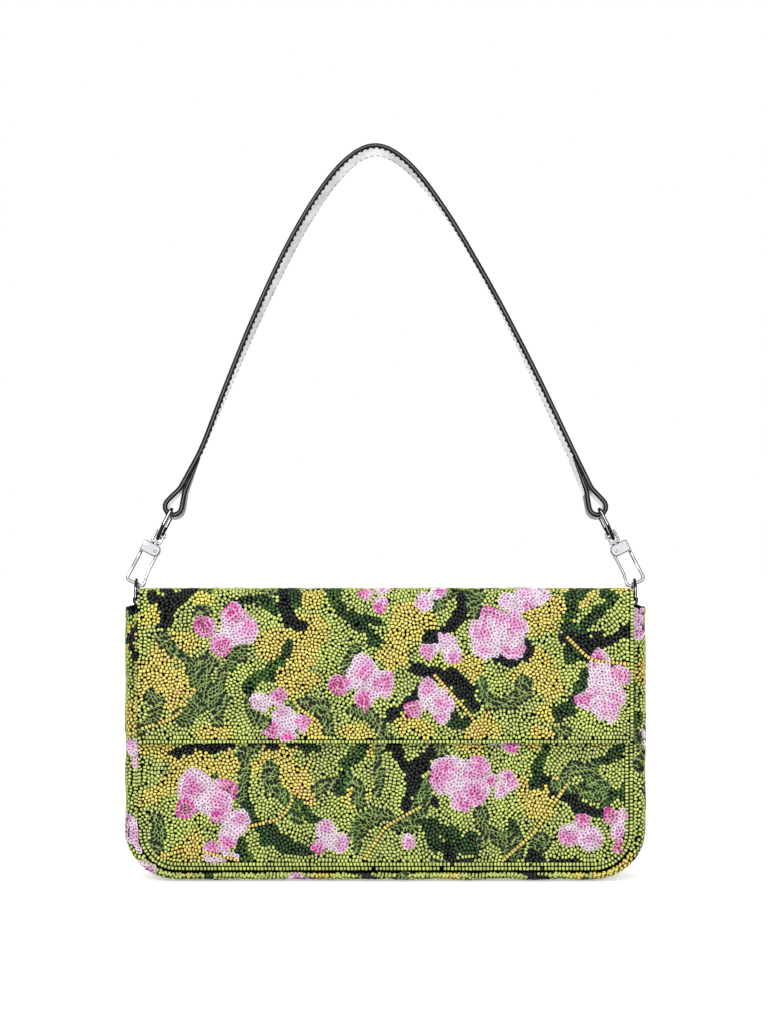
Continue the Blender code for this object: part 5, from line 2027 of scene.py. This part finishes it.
        # The rows stop at the loops, and start again on the turned-back ends.
        for part, faces in ((slice(33, -33), (-1.0, 1.0)), (slice(1, 10), (1.0,)),
                            (slice(-10, -1), (1.0,))):
            for beside in (-5.0, 5.0):
                for face in faces:
                    line = path + across * beside + up * face * (
                        self.thick / 2 * skive[:, None] - 0.12 - 0.05 * face)
                    thread = 0.9 if face < 0 and beside < 0 else 0.45
                    rows.append(stitches(line[part], up[part] * face, 3.4, 2.5, thread))
        new_piece("strap_stitches", join(rows), [THREAD], "strap")


# The stage

def plain_rays(tree: bpy.types.NodeTree) -> bpy.types.NodeSocket:
    """Tell what is seen from what only lights.

    Args:
        tree: the tree of a material or world.

    Returns:
        A socket that is 1 for what the camera, metal and glass see, and 0 for lighting.
    """
    rays = add_node(tree, "ShaderNodeLightPath")
    seen = rays.outputs["Is Camera Ray"]
    for name in ("Is Glossy Ray", "Is Transmission Ray"):
        seen = add_node(tree, "ShaderNodeMath", {0: seen, 1: rays.outputs[name]},
                        operation="MAXIMUM").outputs["Value"]
    return seen


def make_floor() -> None:
    """White paper that is white to the eye and in the metal, and still holds a shadow."""
    mesh = bpy.data.meshes.new("floor")
    size = 6.0
    mesh.from_pydata([(-size, -size, 0), (size, -size, 0), (size, size, 0), (-size, size, 0)],
                     [], [(0, 1, 2, 3)])
    floor = put("floor", mesh)
    paper, shader = new_material("matt_white_paper", {
        "Base Color": linear("#fbfbfb"), "Roughness": 0.95, "Specular IOR Level": 0.1,
        "Emission Color": (1.0, 1.0, 1.0, 1.0)})
    glow = add_node(paper.node_tree, "ShaderNodeMapRange", {
        "Value": plain_rays(paper.node_tree), "To Max": 0.5})
    fill(shader, {"Emission Strength": glow.outputs["Result"]})
    mesh.materials.append(paper)


def make_flags() -> None:
    """Black cards beside and behind the bag that only polished things mirror.

    They draw dark rims, and a window in the middle keeps the back view bright.
    """
    corners = ((-0.85, 0.15), (-0.85, 0.75), (-0.22, 0.75), (0.22, 0.75), (0.85, 0.75),
               (0.85, 0.15))
    points = [(x, y, z) for x, y in corners for z in (-0.1, 0.6, 1.4)]
    faces = [(3 * k + row, 3 * k + 3 + row, 3 * k + 4 + row, 3 * k + 1 + row)
             for k in range(5) for row in (0, 1) if (k, row) != (2, 0)]
    mesh = bpy.data.meshes.new("black_flags")
    mesh.from_pydata(points, [], faces)
    flags = put("black_flags", mesh)
    black, _ = new_material("matt_black_card", {"Base Color": linear("#050505"),
                                                "Roughness": 1.0})
    mesh.materials.append(black)
    flags.visible_camera = flags.visible_diffuse = flags.visible_shadow = False
    flags.visible_transmission = False


def make_light() -> None:
    """An even pale studio and three square soft lamps."""
    world = bpy.data.worlds.new("studio")
    world.use_nodes = True
    bpy.context.scene.world = world
    tree = world.node_tree
    tree.nodes.clear()
    strength = add_node(tree, "ShaderNodeMapRange", {"Value": plain_rays(tree), "To Min": 0.62,
                                                     "To Max": 1.0})
    light = add_node(tree, "ShaderNodeBackground", {"Color": (1.0, 1.0, 1.0, 1.0),
                     "Strength": strength.outputs["Result"]})
    add_node(tree, "ShaderNodeOutputWorld", {"Surface": light.outputs["Background"]})
    # Each lamp's name, place, width and power; all look at the bag's middle.
    for name, place, wide, power in (("key", (-0.9, -1.5, 1.3), 1.1, 16.0),
                                     ("fill", (1.2, -1.3, 0.8), 1.0, 8.0),
                                     ("top", (0.1, 0.2, 1.7), 1.2, 9.0)):
        lamp = bpy.data.lights.new(name, "AREA")
        lamp.shape, lamp.size, lamp.energy = "SQUARE", wide, power
        made = put(name, lamp)
        made.location = place
        way = Vector((0.0, 0.0, 0.12)) - Vector(place)
        made.rotation_euler = way.to_track_quat("-Z", "Y").to_euler()


def make_camera() -> None:
    """The camera at the photograph's place, level and looking straight at the front."""
    lens = bpy.data.cameras.new("camera")
    lens.sensor_fit = "VERTICAL"
    lens.sensor_height = 36.0
    lens.lens = 84.73
    lens.clip_start = 0.01
    camera = put("camera", lens)
    camera.location = (-0.0008, -1.3, 0.1962)
    camera.rotation_euler = (math.pi / 2, 0.0, 0.0)
    bpy.context.scene.camera = camera
    bpy.context.scene.view_settings.view_transform = "Standard"


def dress_nodes() -> None:
    """Give the CAD pieces that stay their finishes."""
    for name, finish in (("front_board", BOARD), ("back_board", BOARD), ("base_board", BOARD),
                         ("magnet_socket", STEEL), ("magnet_stud", STEEL)):
        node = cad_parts[name]
        for slot in node.material_slots:
            slot.material = finish.material()
        if not node.material_slots:
            node.data.materials.append(finish.material())


def main() -> None:
    """Build every part of the bag and its stage, in order."""
    logging.basicConfig(level=logging.INFO, format="%(message)s")
    make_floor()
    make_flags()
    make_light()
    make_camera()
    body = Body()
    body.make_panels()
    body.make_gusset()
    body.make_top_strip()
    body.make_mouth()
    body.make_lining()
    flap = Flap()
    flap.make_cloth()
    flap.make_lining()
    flap.make_hinge()
    for word in SIDES:
        SideRing(word).make()
        Clip(word).make()
    Strap().make()
    dress_nodes()
    bpy.context.view_layer.update()


if __name__ == "__main__":
    main()
